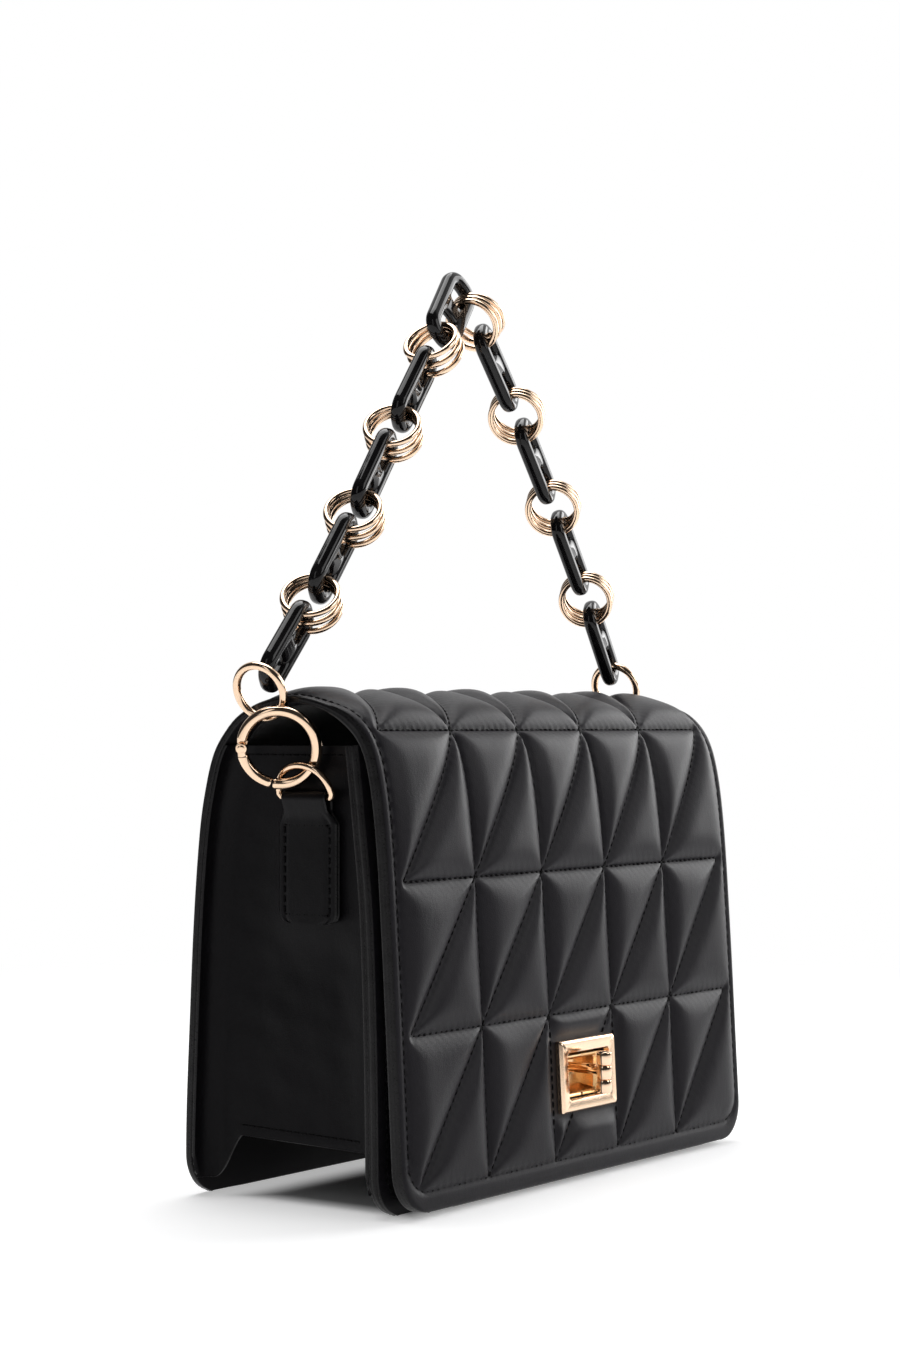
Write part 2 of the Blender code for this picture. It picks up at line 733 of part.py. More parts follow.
def o_ring_frame(side):
    out, setback, height, turn, lean = LEFT_O_RING if side < 0 else RIGHT_O_RING
    return ring_frame((side * out, FRONT_Y + setback, height), side, turn, lean)


def end_ring_frame(side):
    out, height, turn, lean = LEFT_END_RING if side < 0 else RIGHT_END_RING
    return ring_frame((side * out, HANDLE_Y, height), side, turn, lean)


def arc_tube(bench, name, start_deg, end_deg):
    steps = round(abs(end_deg - start_deg) / (360 / (RING_STEPS + 6)))
    points = [(x, y, 0) for x, y in arc((0, 0), O_RADIUS, start_deg, end_deg, steps)]
    return bench.solid_of(tube_curve(name, points, O_WIRE, False))


def ring_point(turn_deg):
    turn = math.radians(turn_deg)
    return Vector((O_RADIUS * math.cos(turn), O_RADIUS * math.sin(turn), 0))


def split_mesh(name, half):
    """A block over one side of the gate's split, whose face runs the way the gate's tip moves."""
    tip = ring_point(GATE_PIVOT_DEG + GATE_SPAN_DEG)
    arm = tip - ring_point(GATE_PIVOT_DEG)
    face = arm.normalized()
    way = Vector((0, 0, 1)).cross(face)
    size = SPLIT_CUT / 2
    block = box_mesh(name, (-GATE_SPLIT / 2, -size, -size), (SPLIT_CUT, size, size))
    turned = Matrix((half * face, half * way, Vector((0, 0, 1)))).transposed().to_4x4()
    block.transform(Matrix.Translation(tip) @ turned)
    return block


def lapped(bench, name, tube, half):
    """Half of a ring joint: the tube ends in a disc of half its thickness, bored for the pin."""
    pivot = ring_point(GATE_PIVOT_DEG)
    reach = O_WIRE / 2
    near, far = half * LAP_GAP, half * reach
    through = Vector((0, 0, 1))
    made = bench.cutter(name + "_blank", tube)
    recess = bench.cutter(name + "_recess", rod_mesh(
        name + "_recess", LAP_RADIUS, pivot + near * through, pivot - 2 * far * through, HOLE_STEPS))
    face = 0.98 * far
    disc = bench.cutter(name + "_disc", rod_mesh(
        name + "_disc", LAP_DISC, pivot - face * through, pivot + face * through, HOLE_STEPS))
    bore = bench.cutter(name + "_bore", rod_mesh(
        name + "_bore", PIN_HOLE, pivot - 2 * reach * through, pivot + 2 * reach * through, HOLE_STEPS))
    split = bench.cutter(name + "_split", split_mesh(name + "_split", half))
    combine(made, disc, 'UNION')
    combine(made, recess, 'DIFFERENCE')
    combine(made, bore, 'DIFFERENCE')
    combine(made, split, 'DIFFERENCE')
    return bench.settled(made, name)


def gate_pin_mesh(bench, name):
    """The rivet through the lap joint, with a head on each face."""
    top = O_WIRE / 2 + SEAT_GAP
    head = top + PIN_HEAD_HEIGHT
    profile = [(0, -head), (PIN_HEAD, -head), (PIN_HEAD, -top), (PIN_RADIUS, -top), (PIN_RADIUS, top),
               (PIN_HEAD, top), (PIN_HEAD, head), (0, head)]
    mesh = turned_mesh(bench, name, profile, 12)
    mesh.transform(Matrix.Translation(ring_point(GATE_PIVOT_DEG)))
    return mesh


def link_mesh(bench):
    """A flat oval link: a round rail around two slots, joined across the middle by a bridge."""
    half_length = (LINK_LENGTH - LINK_RAIL) / 2
    half_width = (LINK_WIDTH - LINK_RAIL) / 2
    loop = [(x, y, 0) for x, y in rounded_rectangle(half_length, half_width, LINK_CORNER, 3)]
    rail = bench.cutter("link_rail", bench.solid_of(tube_curve("link_rail", loop, LINK_RAIL, True)))
    bridge = bench.cutter("link_bridge", box_mesh(
        "link_bridge", (-BRIDGE_LENGTH / 2, -half_width, -BRIDGE_THICKNESS / 2),
        (BRIDGE_LENGTH / 2, half_width, BRIDGE_THICKNESS / 2)))
    combine(rail, bridge, 'UNION')
    return bench.settled(rail, "link")


def ring_set_mesh(bench):
    """Three jump rings side by side, turned as one ring whose section is three touching beads."""
    bead = RING_WIRE / 2
    half = 3 * bead
    side = []
    for centre in (-2 * bead, 0, 2 * bead):
        side.append((bead, centre))
        if centre < bead:
            side.append((RING_NECK, centre + bead))
    shoulder = bead * 0.7
    side = [(shoulder, -half + bead * 0.3)] + side + [(shoulder, half - bead * 0.3)]
    outer = [(RING_RADIUS + r, z) for r, z in side]
    inner = [(RING_RADIUS - r, z) for r, z in reversed(side)]
    profile = [(RING_RADIUS, -half)] + outer + [(RING_RADIUS, half)] + inner
    return turned_mesh(bench, "ring_set", profile, RING_STEPS)


def single_ring_mesh(bench, name, radius, wire):
    section = arc((radius, 0), wire / 2, 0, 315, 7)
    return turned_mesh(bench, name, section, RING_STEPS)


def leg_places(side):
    """Ring centres of one leg, from the end ring up to the apex."""
    out, height = (LEFT_END_RING if side < 0 else RIGHT_END_RING)[:2]
    places = [Vector((side * out, HANDLE_Y, height))]
    for rise, pitch, back in (LEFT_STEPS if side < 0 else RIGHT_STEPS):
        turn = math.radians(rise)
        step = Vector((-side * math.cos(turn), 0, math.sin(turn)))
        places.append(places[-1] + pitch * step + Vector((0, back, 0)))
    return places


def twisted(along):
    """The direction across a link that runs along a leg, turned about the leg by the chain's twist."""
    twist = math.radians(CHAIN_TWIST_DEG)
    back = Vector((0, 1, 0))
    return math.cos(twist) * back.cross(along) + math.sin(twist) * back


def leg_frames(side):
    """Placements of one leg's links, and of its ring sets, which share the turn of both neighbours."""
    places = leg_places(side)
    links, rings = [], []
    for low, high in zip(places, places[1:]):
        along = (high - low).normalized()
        links.append(frame_of((low + high) / 2, along, twisted(along)))
    for before, place, after in zip(places, places[1:], places[2:]):
        rings.append(facing(place, twisted((after - before).normalized())))
    rings.append(facing(places[-1], LEFT_APEX_RING if side < 0 else RIGHT_APEX_RING))
    return links, rings


def apex_frame():
    x, setback, z = APEX_LINK
    return frame_of((x, FRONT_Y + setback, z), APEX_ALONG, APEX_ACROSS)


def build_side_rings(bench, side, word, holder):
    """One side's D-ring, spring-gate O-ring with its gate and rivet, and single end ring."""
    d_holder = joint_empty(bench, word + "_d_ring_fold", d_bar_point(side))
    d_mesh = bench.solid_of(tube_curve(word + "_d_ring", d_ring_points(), D_WIRE, True))
    hang(bench.piece(word + "_d_ring", d_mesh, "gold_metal", d_ring_frame(side)), d_holder)
    start = GATE_PIVOT_DEG
    split = GATE_PIVOT_DEG + GATE_SPAN_DEG
    body = lapped(bench, word + "_ring_body", arc_tube(
        bench, word + "_body_tube", split - GATE_OVERLAP_DEG, start + 360), -1)
    gate = lapped(bench, word + "_ring_gate", arc_tube(
        bench, word + "_gate_tube", start, split + GATE_OVERLAP_DEG), 1)
    frame = o_ring_frame(side)
    hang(bench.piece(word + "_o_ring", body, "gold_metal", frame), holder)
    pin = gate_pin_mesh(bench, word + "_gate_rivet")
    hang(bench.piece(word + "_gate_rivet", pin, "gold_metal", frame), holder)
    pivot = frame @ ring_point(start)
    gate_holder = joint_empty(bench, word + "_gate_pivot", pivot, holder)
    hang(bench.piece(word + "_gate", gate, "gold_metal", frame), gate_holder)


def build_handle(bench):
    """The chain: every level of both legs hangs on the level below it, up to the apex link."""
    bar = (d_bar_point(-1) + d_bar_point(1)) / 2
    holder = joint_empty(bench, "o_rings_swing", bar)
    for side, word in ((-1, "left"), (1, "right")):
        build_side_rings(bench, side, word, holder)
    end_mesh = single_ring_mesh(bench, "end_ring", END_RING_RADIUS, END_RING_WIRE)
    level = joint_empty(bench, "end_rings_line", (leg_places(-1)[0] + leg_places(1)[0]) / 2, holder)
    for side, word in ((-1, "left"), (1, "right")):
        hang(bench.piece(word + "_end_ring", end_mesh, "gold_metal", end_ring_frame(side)), level)
    link = link_mesh(bench)
    ring = ring_set_mesh(bench)
    left, right = leg_frames(-1), leg_frames(1)
    count = len(LEFT_STEPS)
    total = 2 * count + 1
    for index in range(count):
        low = (leg_places(-1)[index] + leg_places(1)[index]) / 2
        level = joint_empty(bench, "links_line_%d" % (index + 1), low, level)
        for number, frames in ((index + 1, left), (total - index, right)):
            hang(bench.piece("chain_link_%d" % number, link, "black_acrylic", frames[0][index]), level)
        high = (leg_places(-1)[index + 1] + leg_places(1)[index + 1]) / 2
        level = joint_empty(bench, "rings_line_%d" % (index + 1), high, level)
        for number, frames in ((index + 1, left), (total - 1 - index, right)):
            hang(bench.piece("ring_set_%d" % number, ring, "gold_metal", frames[1][index]), level)
    apex = joint_empty(bench, "apex_line", high, level)
    hang(bench.piece("chain_link_%d" % (count + 1), link, "black_acrylic", apex_frame()), apex)


def plate_mesh(bench, name, width, height, thickness, frame):
    """A flat plate with rounded corners, whose back face lies on the frame's XZ plane."""
    outline = rounded_rectangle(width / 2, height / 2, PLATE_BEVEL, 2)
    middle = frame @ Matrix.Translation((0, -thickness / 2, 0))
    return bench.solid_of(outline_curve(name, outline, thickness / 2), middle @ FRONT_VIEW)


def lock_frame(depth):
    """A placement on the flap at the lock: X to the right, Y into the bag, Z up along its face."""
    path = wrap_path()
    half = PLATE_HEIGHT / 2
    low, high = (at_index(path, across(path, LOCK_HEIGHT + way * half, 1)) for way in (-1, 1))
    up = Vector((0, high.x - low.x, high.y - low.y)).normalized()
    inner = Vector((0, up.z, -up.y))
    centre = at_index(path, across(path, LOCK_HEIGHT, 1))
    place = Matrix.Translation(Vector((0, *centre)) + depth * inner)
    return place @ Matrix((Vector((1, 0, 0)), inner, up)).transposed().to_4x4()


def build_lock(bench, flap_holder):
    """The turn lock: framed plate and backing on the flap, collared base and knob on the body."""
    face = lock_frame(-SEAT_GAP)
    plate = bench.piece("lock_plate", plate_mesh(
        bench, "lock_plate", PLATE_WIDTH, PLATE_HEIGHT, PLATE_THICKNESS, face), "gold_metal")
    opening = bench.cutter("lock_plate_opening", plate_mesh(
        bench, "lock_plate_opening", PLATE_OPENING_WIDTH, PLATE_OPENING_HEIGHT, 2 * CUT_OVERRUN,
        lock_frame(CUT_OVERRUN)))
    combine(plate, opening, 'DIFFERENCE')
    hang(plate, flap_holder)
    behind = lock_frame(FLAP_TOTAL + 2 * SEAT_GAP + BACKING_THICKNESS)
    backing = bench.piece("lock_backing", plate_mesh(
        bench, "lock_backing", BACKING_WIDTH, BACKING_HEIGHT, BACKING_THICKNESS, behind), "gold_metal")
    window = bench.cutter("lock_backing_window", plate_mesh(
        bench, "lock_backing_window", FLAP_HOLE_WIDTH, FLAP_HOLE_HEIGHT, 2 * CUT_OVERRUN,
        lock_frame(CUT_OVERRUN)))
    combine(backing, window, 'DIFFERENCE')
    hang(backing, flap_holder)
    build_lock_base(bench, lock_frame(-SEAT_GAP - PLATE_THICKNESS).translation.y)


def build_lock_base(bench, plate_front):
    """What stays on the body: base plate with its collar, knob with its stem, inner washer."""
    path = front_path()
    level = LOCK_HEIGHT + KNOB_RISE
    back = min(at_index(path, across(path, z, 1)).x for z in (
        level - BASE_PLATE_HEIGHT / 2, level + BASE_PLATE_HEIGHT / 2)) - SEAT_GAP
    middle = LOCK_HEIGHT + COLLAR_RISE
    base = bench.piece("lock_base", plate_mesh(
        bench, "lock_base", BASE_PLATE_WIDTH, BASE_PLATE_HEIGHT, BASE_PLATE_THICKNESS,
        Matrix.Translation((0, back, middle))), "gold_metal")
    floor = back - BASE_PLATE_THICKNESS
    root = (floor + back) / 2
    collar = bench.cutter("lock_collar", plate_mesh(
        bench, "lock_collar", COLLAR_WIDTH, COLLAR_HEIGHT, root - plate_front - COLLAR_RECESS,
        Matrix.Translation((0, root, middle))))
    well = bench.cutter("lock_collar_well", plate_mesh(
        bench, "lock_collar_well", COLLAR_HOLE_WIDTH, COLLAR_HOLE_HEIGHT, CUT_OVERRUN,
        Matrix.Translation((0, floor, middle))))
    bore = bench.cutter("lock_stem_bore", rod_mesh(
        "lock_stem_bore", STEM_HOLE, (0, back - CUT_OVERRUN, level), (0, back + CUT_OVERRUN, level),
        HOLE_STEPS))
    combine(base, collar, 'UNION')
    combine(base, well, 'DIFFERENCE')
    combine(base, bore, 'DIFFERENCE')
    build_knob(bench, plate_front - KNOB_PROUD, back, level)
    path_back = inward(path, FRONT_INNER + FRONT_LINING + SEAT_GAP)
    inside = max(at_index(path_back, across(path_back, z, 1)).x for z in (
        level - WASHER_RADIUS, level + WASHER_RADIUS))
    bench.piece("lock_washer", rod_mesh(
        "lock_washer", WASHER_RADIUS, (0, inside, level), (0, inside + WASHER_THICKNESS, level),
        RING_STEPS), "gold_metal")


def build_knob(bench, knob_y, base_back, level):
    """The three-lobed knob on its stem, whose foot turns in a pocket behind the base plate."""
    holder = joint_empty(bench, "turn_knob_axis", (0, knob_y, level))
    lobe = KNOB_LENGTH / 3
    swell = KNOB_RADIUS - KNOB_NECK
    profile = [(0, -KNOB_LENGTH / 2)]
    for i in range(13):
        z = KNOB_LENGTH * (i / 12 - 0.5)
        phase = math.pi * (z + KNOB_LENGTH / 2) / lobe
        profile.append((KNOB_NECK + swell * abs(math.sin(phase)), z))
    profile.append((0, KNOB_LENGTH / 2))
    knob = bench.piece("turn_knob", turned_mesh(bench, "turn_knob", profile, 12), "gold_metal",
                       Matrix.Translation((0, knob_y, level)))
    foot = base_back + SEAT_GAP
    stem = bench.cutter("knob_stem", rod_mesh(
        "knob_stem", STEM_RADIUS, (0, knob_y, level), (0, foot + STEM_FOOT_THICKNESS / 2, level), 12))
    disc = bench.cutter("knob_stem_foot", rod_mesh(
        "knob_stem_foot", STEM_FOOT_RADIUS, (0, foot, level), (0, foot + STEM_FOOT_THICKNESS, level), 12))
    combine(knob, stem, 'UNION')
    combine(knob, disc, 'UNION')
    hang(knob, holder)


def build():
    clear_scene()
    bench = Bench()
    flap_holder = build_flap(bench)
    build_back(bench)
    build_front(bench)
    for side, word in ((-1, "left"), (1, "right")):
        build_gusset(bench, word + "_gusset", side)
        build_tab(bench, word + "_tab", side)
    build_base(bench)
    build_lock(bench, flap_holder)
    build_handle(bench)


build()
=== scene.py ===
"""Looks of the quilted flap bag: leather, quilting, stitches, linings, polished hardware and studio."""
import json
import math
from functools import cache

import bmesh
import bpy
import numpy as np
from mathutils import Matrix, Vector

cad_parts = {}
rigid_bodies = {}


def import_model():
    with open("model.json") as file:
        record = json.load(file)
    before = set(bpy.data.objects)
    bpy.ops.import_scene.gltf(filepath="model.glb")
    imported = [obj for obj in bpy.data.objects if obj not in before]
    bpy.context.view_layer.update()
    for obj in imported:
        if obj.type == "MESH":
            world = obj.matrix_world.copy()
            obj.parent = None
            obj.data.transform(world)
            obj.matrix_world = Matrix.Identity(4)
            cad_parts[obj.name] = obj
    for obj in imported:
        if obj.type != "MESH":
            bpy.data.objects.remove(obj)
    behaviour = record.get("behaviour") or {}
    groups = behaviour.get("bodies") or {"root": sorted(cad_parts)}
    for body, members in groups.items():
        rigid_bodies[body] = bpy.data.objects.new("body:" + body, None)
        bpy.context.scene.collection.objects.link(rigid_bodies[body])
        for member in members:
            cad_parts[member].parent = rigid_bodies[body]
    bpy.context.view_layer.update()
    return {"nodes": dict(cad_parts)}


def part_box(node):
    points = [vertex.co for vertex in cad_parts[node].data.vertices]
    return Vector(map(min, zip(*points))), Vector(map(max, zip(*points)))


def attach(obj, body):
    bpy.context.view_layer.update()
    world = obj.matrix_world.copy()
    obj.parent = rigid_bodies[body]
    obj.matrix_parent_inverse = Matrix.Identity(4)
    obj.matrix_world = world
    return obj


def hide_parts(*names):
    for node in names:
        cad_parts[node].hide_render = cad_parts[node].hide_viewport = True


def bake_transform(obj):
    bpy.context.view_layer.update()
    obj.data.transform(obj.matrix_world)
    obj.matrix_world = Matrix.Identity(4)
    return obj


for old in list(bpy.data.objects):
    bpy.data.objects.remove(old)
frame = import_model()

bl_info = {
    "name": "Quilted flap bag",
    "version": (1, 0, 0),
    "blender": (4, 5, 0),
    "location": "3D View > Sidebar > Quilted bag",
    "description": "Dresses the packed bag: quilting, stitched leather, linings, chain, rings and lock",
    "category": "Object",
}

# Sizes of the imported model, in metres
HALF_WIDTH = 0.1074
DEPTH = 0.0914
HEIGHT = 0.1679
FRONT_Y = -0.0410115
FRONT_HEIGHT = 0.1515
FLAP_LIFT = 0.0020
HINGE_Y = -0.0063115
FLAP_THICK = 0.0042
BACK_THICK = 0.0025
FRONT_THICK = 0.0039
LEATHER = 0.0014
WEB_X = 0.0987
BEND = 0.0072
GUSSET_LOW = 0.0213
GUSSET_HIGH = 0.1512
LOCK_Z = 0.0366
STEM_Z = 0.0383
# Half sizes of the window in the flap under the lock plate, and of the stem's hole in the front panel
WINDOW_X, WINDOW_S = 0.0137, 0.0098
STEM_HOLE = 0.0042
# Radius of the panels' lower corners, and half of the width that the corners leave alone
CORNER = 0.014
FREE = 0.080
# Half width of the stitched grid, width of a cell, and place and corner radius of the border seams
GRID = 0.1
CELL = 0.04
BORDER_X = 0.1042
BORDER_TURN = 0.0100
# Quilting: a pillow is full this far from a seam; depth and reach of the puckers and creases beside
# seams; the roll outside the border seam; the plain place round the lock; where the roll ends on the roof
PILLOW_REACH = 0.0122
PUCKER, PUCKER_REACH = 0.00010, 0.0022
CREASE, CREASE_REACH = 0.00035, 0.0008
ROLL, ROLL_REACH, EDGE_REACH = 0.0008, 0.0012, 0.0007
LOCK_X, LOCK_S, LOCK_FADE = 0.0180, 0.0128, 0.007
ROLL_END, ROLL_FADE = -0.016, 0.010
ROOF_FADE = 0.004
# The D-ring's bar: how far it lies outside the web, and its height; the tab's middle and foot
BAR_OUT = 0.0037
BAR_Z = 0.1341
TAB_Y = FRONT_Y + 0.0437
TAB_FOOT = 0.0930
CLOTH = 0.0007
GROOVES_WRAP, GROOVES_FRONT = (0.30, 0.68), (0.27, 0.72)
WRAP_SHARES = (
    (0.000, 0.000), (0.030, 0.310), (0.051, 0.510), (0.075, 0.700), (0.105, 0.828),
    (0.150, 0.908), (0.230, 0.958), (0.345, 0.984), (0.500, 1.000), (0.640, 0.988),
    (0.748, 0.962), (0.815, 0.928), (0.868, 0.885), (0.905, 0.820), (0.937, 0.727),
    (0.965, 0.560), (0.988, 0.300), (1.000, 0.113), (0.998, -0.012),
)
FRONT_SHARES = (
    (0.113, -0.012), (0.113, 0.150), (0.121, 0.400), (0.139, 0.647), (0.174, 0.851), (0.204, 1.000),
)
# Heights of the stitch rows on the face, and the setback of the row over the roof
ROW_HEIGHTS = (0.0085, 0.0585, 0.1076, 0.1564)
ROOF_ROW_Y = 0.0217


# ---------------------------------------------------------------- curves and grids

def smooth_path(knots, steps=12):
    """Catmull-Rom curve: between two knots, the cubic whose slope at each is half its neighbours' span."""
    k = np.vstack([knots[:1], knots, knots[-1:]])
    t = np.linspace(0, 1, steps, endpoint=False)[None, :, None]
    a, b, c, d = (k[i:len(k) - 3 + i, None, :] for i in range(4))
    rows = ((-t ** 3 + 2 * t ** 2 - t) * a + (3 * t ** 3 - 5 * t ** 2 + 2) * b
            + (-3 * t ** 3 + 4 * t ** 2 + t) * c + (t ** 3 - t ** 2) * d) / 2
    return np.vstack([rows.reshape(-1, k.shape[1]), k[-1:]])


def lengths_along(points):
    """Distance walked from the first point, point by point."""
    return np.concatenate([[0], np.cumsum(np.linalg.norm(np.diff(points, axis=0), axis=1))])


def unit(v):
    """Directions of length one: every vector divided by its own length."""
    return v / np.maximum(np.linalg.norm(v, axis=-1, keepdims=True), 1e-12)


class SideLine:
    """A panel's outer line in the side view, as points (y, z) read by the distance s walked on it."""

    def __init__(self, shares, height):
        knots = np.array([(FRONT_Y + d * DEPTH, h * height) for d, h in shares])
        self.points = smooth_path(knots)
        self.s = lengths_along(self.points)
        along = unit(np.gradient(self.points, self.s, axis=0))
        self.normals = np.stack([-along[:, 1], along[:, 0]], axis=1)

    def at(self, s, depth=0.0):
        """Point at s, moved inward by depth along the line's normal."""
        y, z = (np.interp(s, self.s, self.points[:, i]) for i in (0, 1))
        ny, nz = (np.interp(s, self.s, self.normals[:, i]) for i in (0, 1))
        return y - depth * ny, z - depth * nz

    def walked(self, value, axis, half):
        """The distance s at which the line's first or second half reaches a y or z value."""
        middle = int(np.argmax(self.points[:, 1]))
        part = slice(0, middle + 1) if half == 0 else slice(middle, None)
        values, s = self.points[part, axis], self.s[part]
        order = np.argsort(values)
        return float(np.interp(value, values[order], s[order]))


FOOT_Z = 0.0004
WRAP = SideLine(WRAP_SHARES, HEIGHT)
FRONT = SideLine(FRONT_SHARES, FRONT_HEIGHT)
FRONT.s_top = float(FRONT.s[-1])
FRONT.s_low = float(np.interp(FOOT_Z, FRONT.points[:, 1], FRONT.s))
S_LOW = WRAP.walked(FLAP_LIFT, 1, 0)
S_HINGE = WRAP.walked(HINGE_Y, 0, 0)
S_BACK_FOOT = WRAP.walked(FOOT_Z, 1, 1)
ROWS = [WRAP.walked(z, 1, 0) for z in ROW_HEIGHTS]
S_LOCK = WRAP.walked(LOCK_Z, 1, 0)
crest = int(np.argmax(WRAP.points[:, 1]))
ROWS.append(float(np.interp(ROOF_ROW_Y, WRAP.points[crest:crest + 60, 0], WRAP.s[crest:crest + 60])))


def corner_inset(z, low, radius):
    """How far a rounded lower corner of this radius draws the side in at height z."""
    h = np.clip(radius - (z - low), 0, radius)
    return radius - np.sqrt(np.maximum(radius ** 2 - h ** 2, 0))


def drawn_in(across, inset):
    """Places across a panel whose sides come in by inset: all that lies outside FREE is squeezed evenly."""
    squeezed = FREE + (np.abs(across) - FREE) * (HALF_WIDTH - inset - FREE) / (HALF_WIDTH - FREE)
    return np.where(np.abs(across) > FREE, np.sign(across) * squeezed, across)


def grid_faces(rows, columns, wrap_rows=False, wrap_columns=False):
    """Quads between neighbouring rows and columns of a grid of points counted row by row."""
    i = np.arange(rows if wrap_rows else rows - 1)
    j = np.arange(columns if wrap_columns else columns - 1)
    i, j = np.meshgrid(i, j, indexing="ij")
    i2, j2 = (i + 1) % rows, (j + 1) % columns
    corners = i * columns + j, i * columns + j2, i2 * columns + j2, i2 * columns + j
    return np.stack(corners, axis=-1).reshape(-1, 4)


def make_mesh(name, points, faces, uv=None, marks=None):
    """A mesh from arrays of points and quads. uv is one place per point, marks one material per face."""
    mesh = bpy.data.meshes.new(name)
    mesh.from_pydata(np.asarray(points, float).reshape(-1, 3).tolist(), [], np.asarray(faces).tolist())
    if uv is not None:
        layer = mesh.uv_layers.new(name="pattern")
        corners = np.empty(len(mesh.loops), np.int32)
        mesh.loops.foreach_get("vertex_index", corners)
        layer.data.foreach_set("uv", np.asarray(uv, np.float32)[corners].ravel())
    if marks is not None:
        mesh.polygons.foreach_set("material_index", np.asarray(marks, np.int32))
    mesh.update()
    return mesh


def facing_out(mesh):
    """Turns every face outward, after doubled points are merged."""
    shape = bmesh.new()
    shape.from_mesh(mesh)
    bmesh.ops.remove_doubles(shape, verts=shape.verts, dist=1e-6)
    bmesh.ops.recalc_face_normals(shape, faces=shape.faces)
    if shape.calc_volume(signed=True) < 0:
        bmesh.ops.reverse_faces(shape, faces=shape.faces)
    shape.to_mesh(mesh)
    shape.free()


def add_piece(name, mesh, materials, body, replaces=(), sharp=50):
    """Puts a mesh in the scene as a piece on a body, in place of the CAD nodes that it stands for."""
    facing_out(mesh)
    mesh.polygons.foreach_set("use_smooth", np.ones(len(mesh.polygons), bool))
    if sharp:
        mesh.set_sharp_from_angle(angle=math.radians(sharp))
    for material in materials:
        mesh.materials.append(material)
    piece = bpy.data.objects.new(name, mesh)
    bpy.context.scene.collection.objects.link(piece)
    if body is not None:
        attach(piece, body)
    if replaces:
        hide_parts(*replaces)
    return piece


def shell(outer, inner, faces, bulge, uv, ridges=7):
    """A closed panel from its outer and inner sheets, which share their faces. The open edges are joined
    by a wall of several strips, each strip a share of the way across and pushed outward by bulge(share)."""
    count = len(outer)
    edges = np.concatenate([faces[:, [k, (k + 1) % 4]] for k in range(4)])
    key = np.sort(edges, axis=1)
    _, first, times = np.unique(key, axis=0, return_index=True, return_counts=True)
    rim = edges[first[times == 1]]
    owner = np.tile(np.arange(len(faces)), 4)[first[times == 1]]
    away = unit((outer[rim].mean(axis=1) - outer[faces[owner]].mean(axis=1)))
    out = np.zeros_like(outer)
    np.add.at(out, rim.ravel(), np.repeat(away, 2, axis=0))
    across = unit(inner - outer)
    out = unit(out - (out * across).sum(1, keepdims=True) * across)
    used = np.unique(rim)
    place = np.full(count, -1)
    place[used] = np.arange(len(used))
    shares = np.linspace(0, 1, ridges + 2)[1:-1]
    rows = [outer[used] * (1 - t) + inner[used] * t + out[used] * bulge(t) for t in shares]
    base = 2 * count + np.arange(ridges)[:, None] * len(used)
    levels = [rim] + [base[k] + place[rim] for k in range(ridges)] + [rim + count]
    walls = [np.column_stack([b[:, 0], b[:, 1], a[:, 1], a[:, 0]]) for a, b in zip(levels, levels[1:])]
    points = np.vstack([outer, inner] + rows)
    quads = np.vstack([faces, faces[:, ::-1] + count] + walls)
    marks = np.repeat([0, 1, 2], [len(faces), len(faces), len(rim) * (ridges + 1)])
    return points, quads, np.vstack([uv, uv] + [uv[used]] * ridges), marks


def painted_edge(height, grooves):
    """Bulge of a painted edge: a shallow round, with a narrow groove at each of the given shares."""
    def bulge(t):
        h = height * math.sqrt(max(1 - (2 * t - 1) ** 4, 0))
        return h - sum(0.00035 * math.exp(-((t - g) / 0.05) ** 2) for g in grooves)
    return bulge


# ---------------------------------------------------------------- quilting

def smooth_step(t):
    """Soft change from 0 to 1: three t squared less two t cubed."""
    t = np.clip(t, 0, 1)
    return t * t * (3 - 2 * t)


def soft_waves(x, s, scale, seed):
    """Smooth unevenness between -1 and 1: the mean of six sine waves in seeded directions."""
    rng = np.random.default_rng(seed)
    total = np.zeros_like(x)
    for turn, stretch, phase in rng.uniform(size=(6, 3)):
        k = 2 * np.pi / (scale * (0.7 + 0.8 * stretch))
        total += np.sin(k * (x * np.cos(turn * 6.283) + s * np.sin(turn * 6.283)) + 6.283 * phase)
    return total / 3.5


def seam_distance(x, s):
    """Soft distance to the nearest seam of the cell's half: the inverse fourth powers of the distances
    to its column line, its row line and its diagonal are added, and the sum's inverse root is taken.
    The outer half cells run on past the grid to the border seam, where rows and slants have ended."""
    i = np.clip(np.floor((x + GRID) / CELL), 0, 4)
    a = np.clip((x + GRID) / CELL - i, 0, 1)
    rows = np.array(ROWS)
    j = np.clip(np.searchsorted(rows, s) - 1, 0, 3)
    tall = rows[j + 1] - rows[j]
    b = np.clip((s - rows[j]) / tall, 0, 1)
    upper = b > a
    side = np.where(upper, a, 1 - a) * CELL
    side = np.where(upper & (i == 0), x + BORDER_X, np.where(~upper & (i == 4), BORDER_X - x, side))
    beyond = np.maximum(np.abs(x) - GRID, 0)
    level = np.hypot(np.where(upper, 1 - b, b) * tall, beyond)
    slant = np.hypot(np.abs(a - b) * CELL * tall / np.hypot(CELL, tall), beyond)
    parts = np.stack([side, level, slant]) + 2e-5
    return (parts ** -4.0).sum(0) ** -0.25


def border_distance(x, s):
    """Signed distance, positive inside, to the border seam, whose two lower corners are rounded."""
    r = BORDER_TURN
    qx, qs = np.abs(x) - (BORDER_X - r), (ROWS[0] + r) - s
    corner = r - np.hypot(np.maximum(qx, 0), np.maximum(qs, 0))
    return np.where((qx > 0) & (qs > 0), corner, np.minimum(BORDER_X - np.abs(x), s - ROWS[0]))


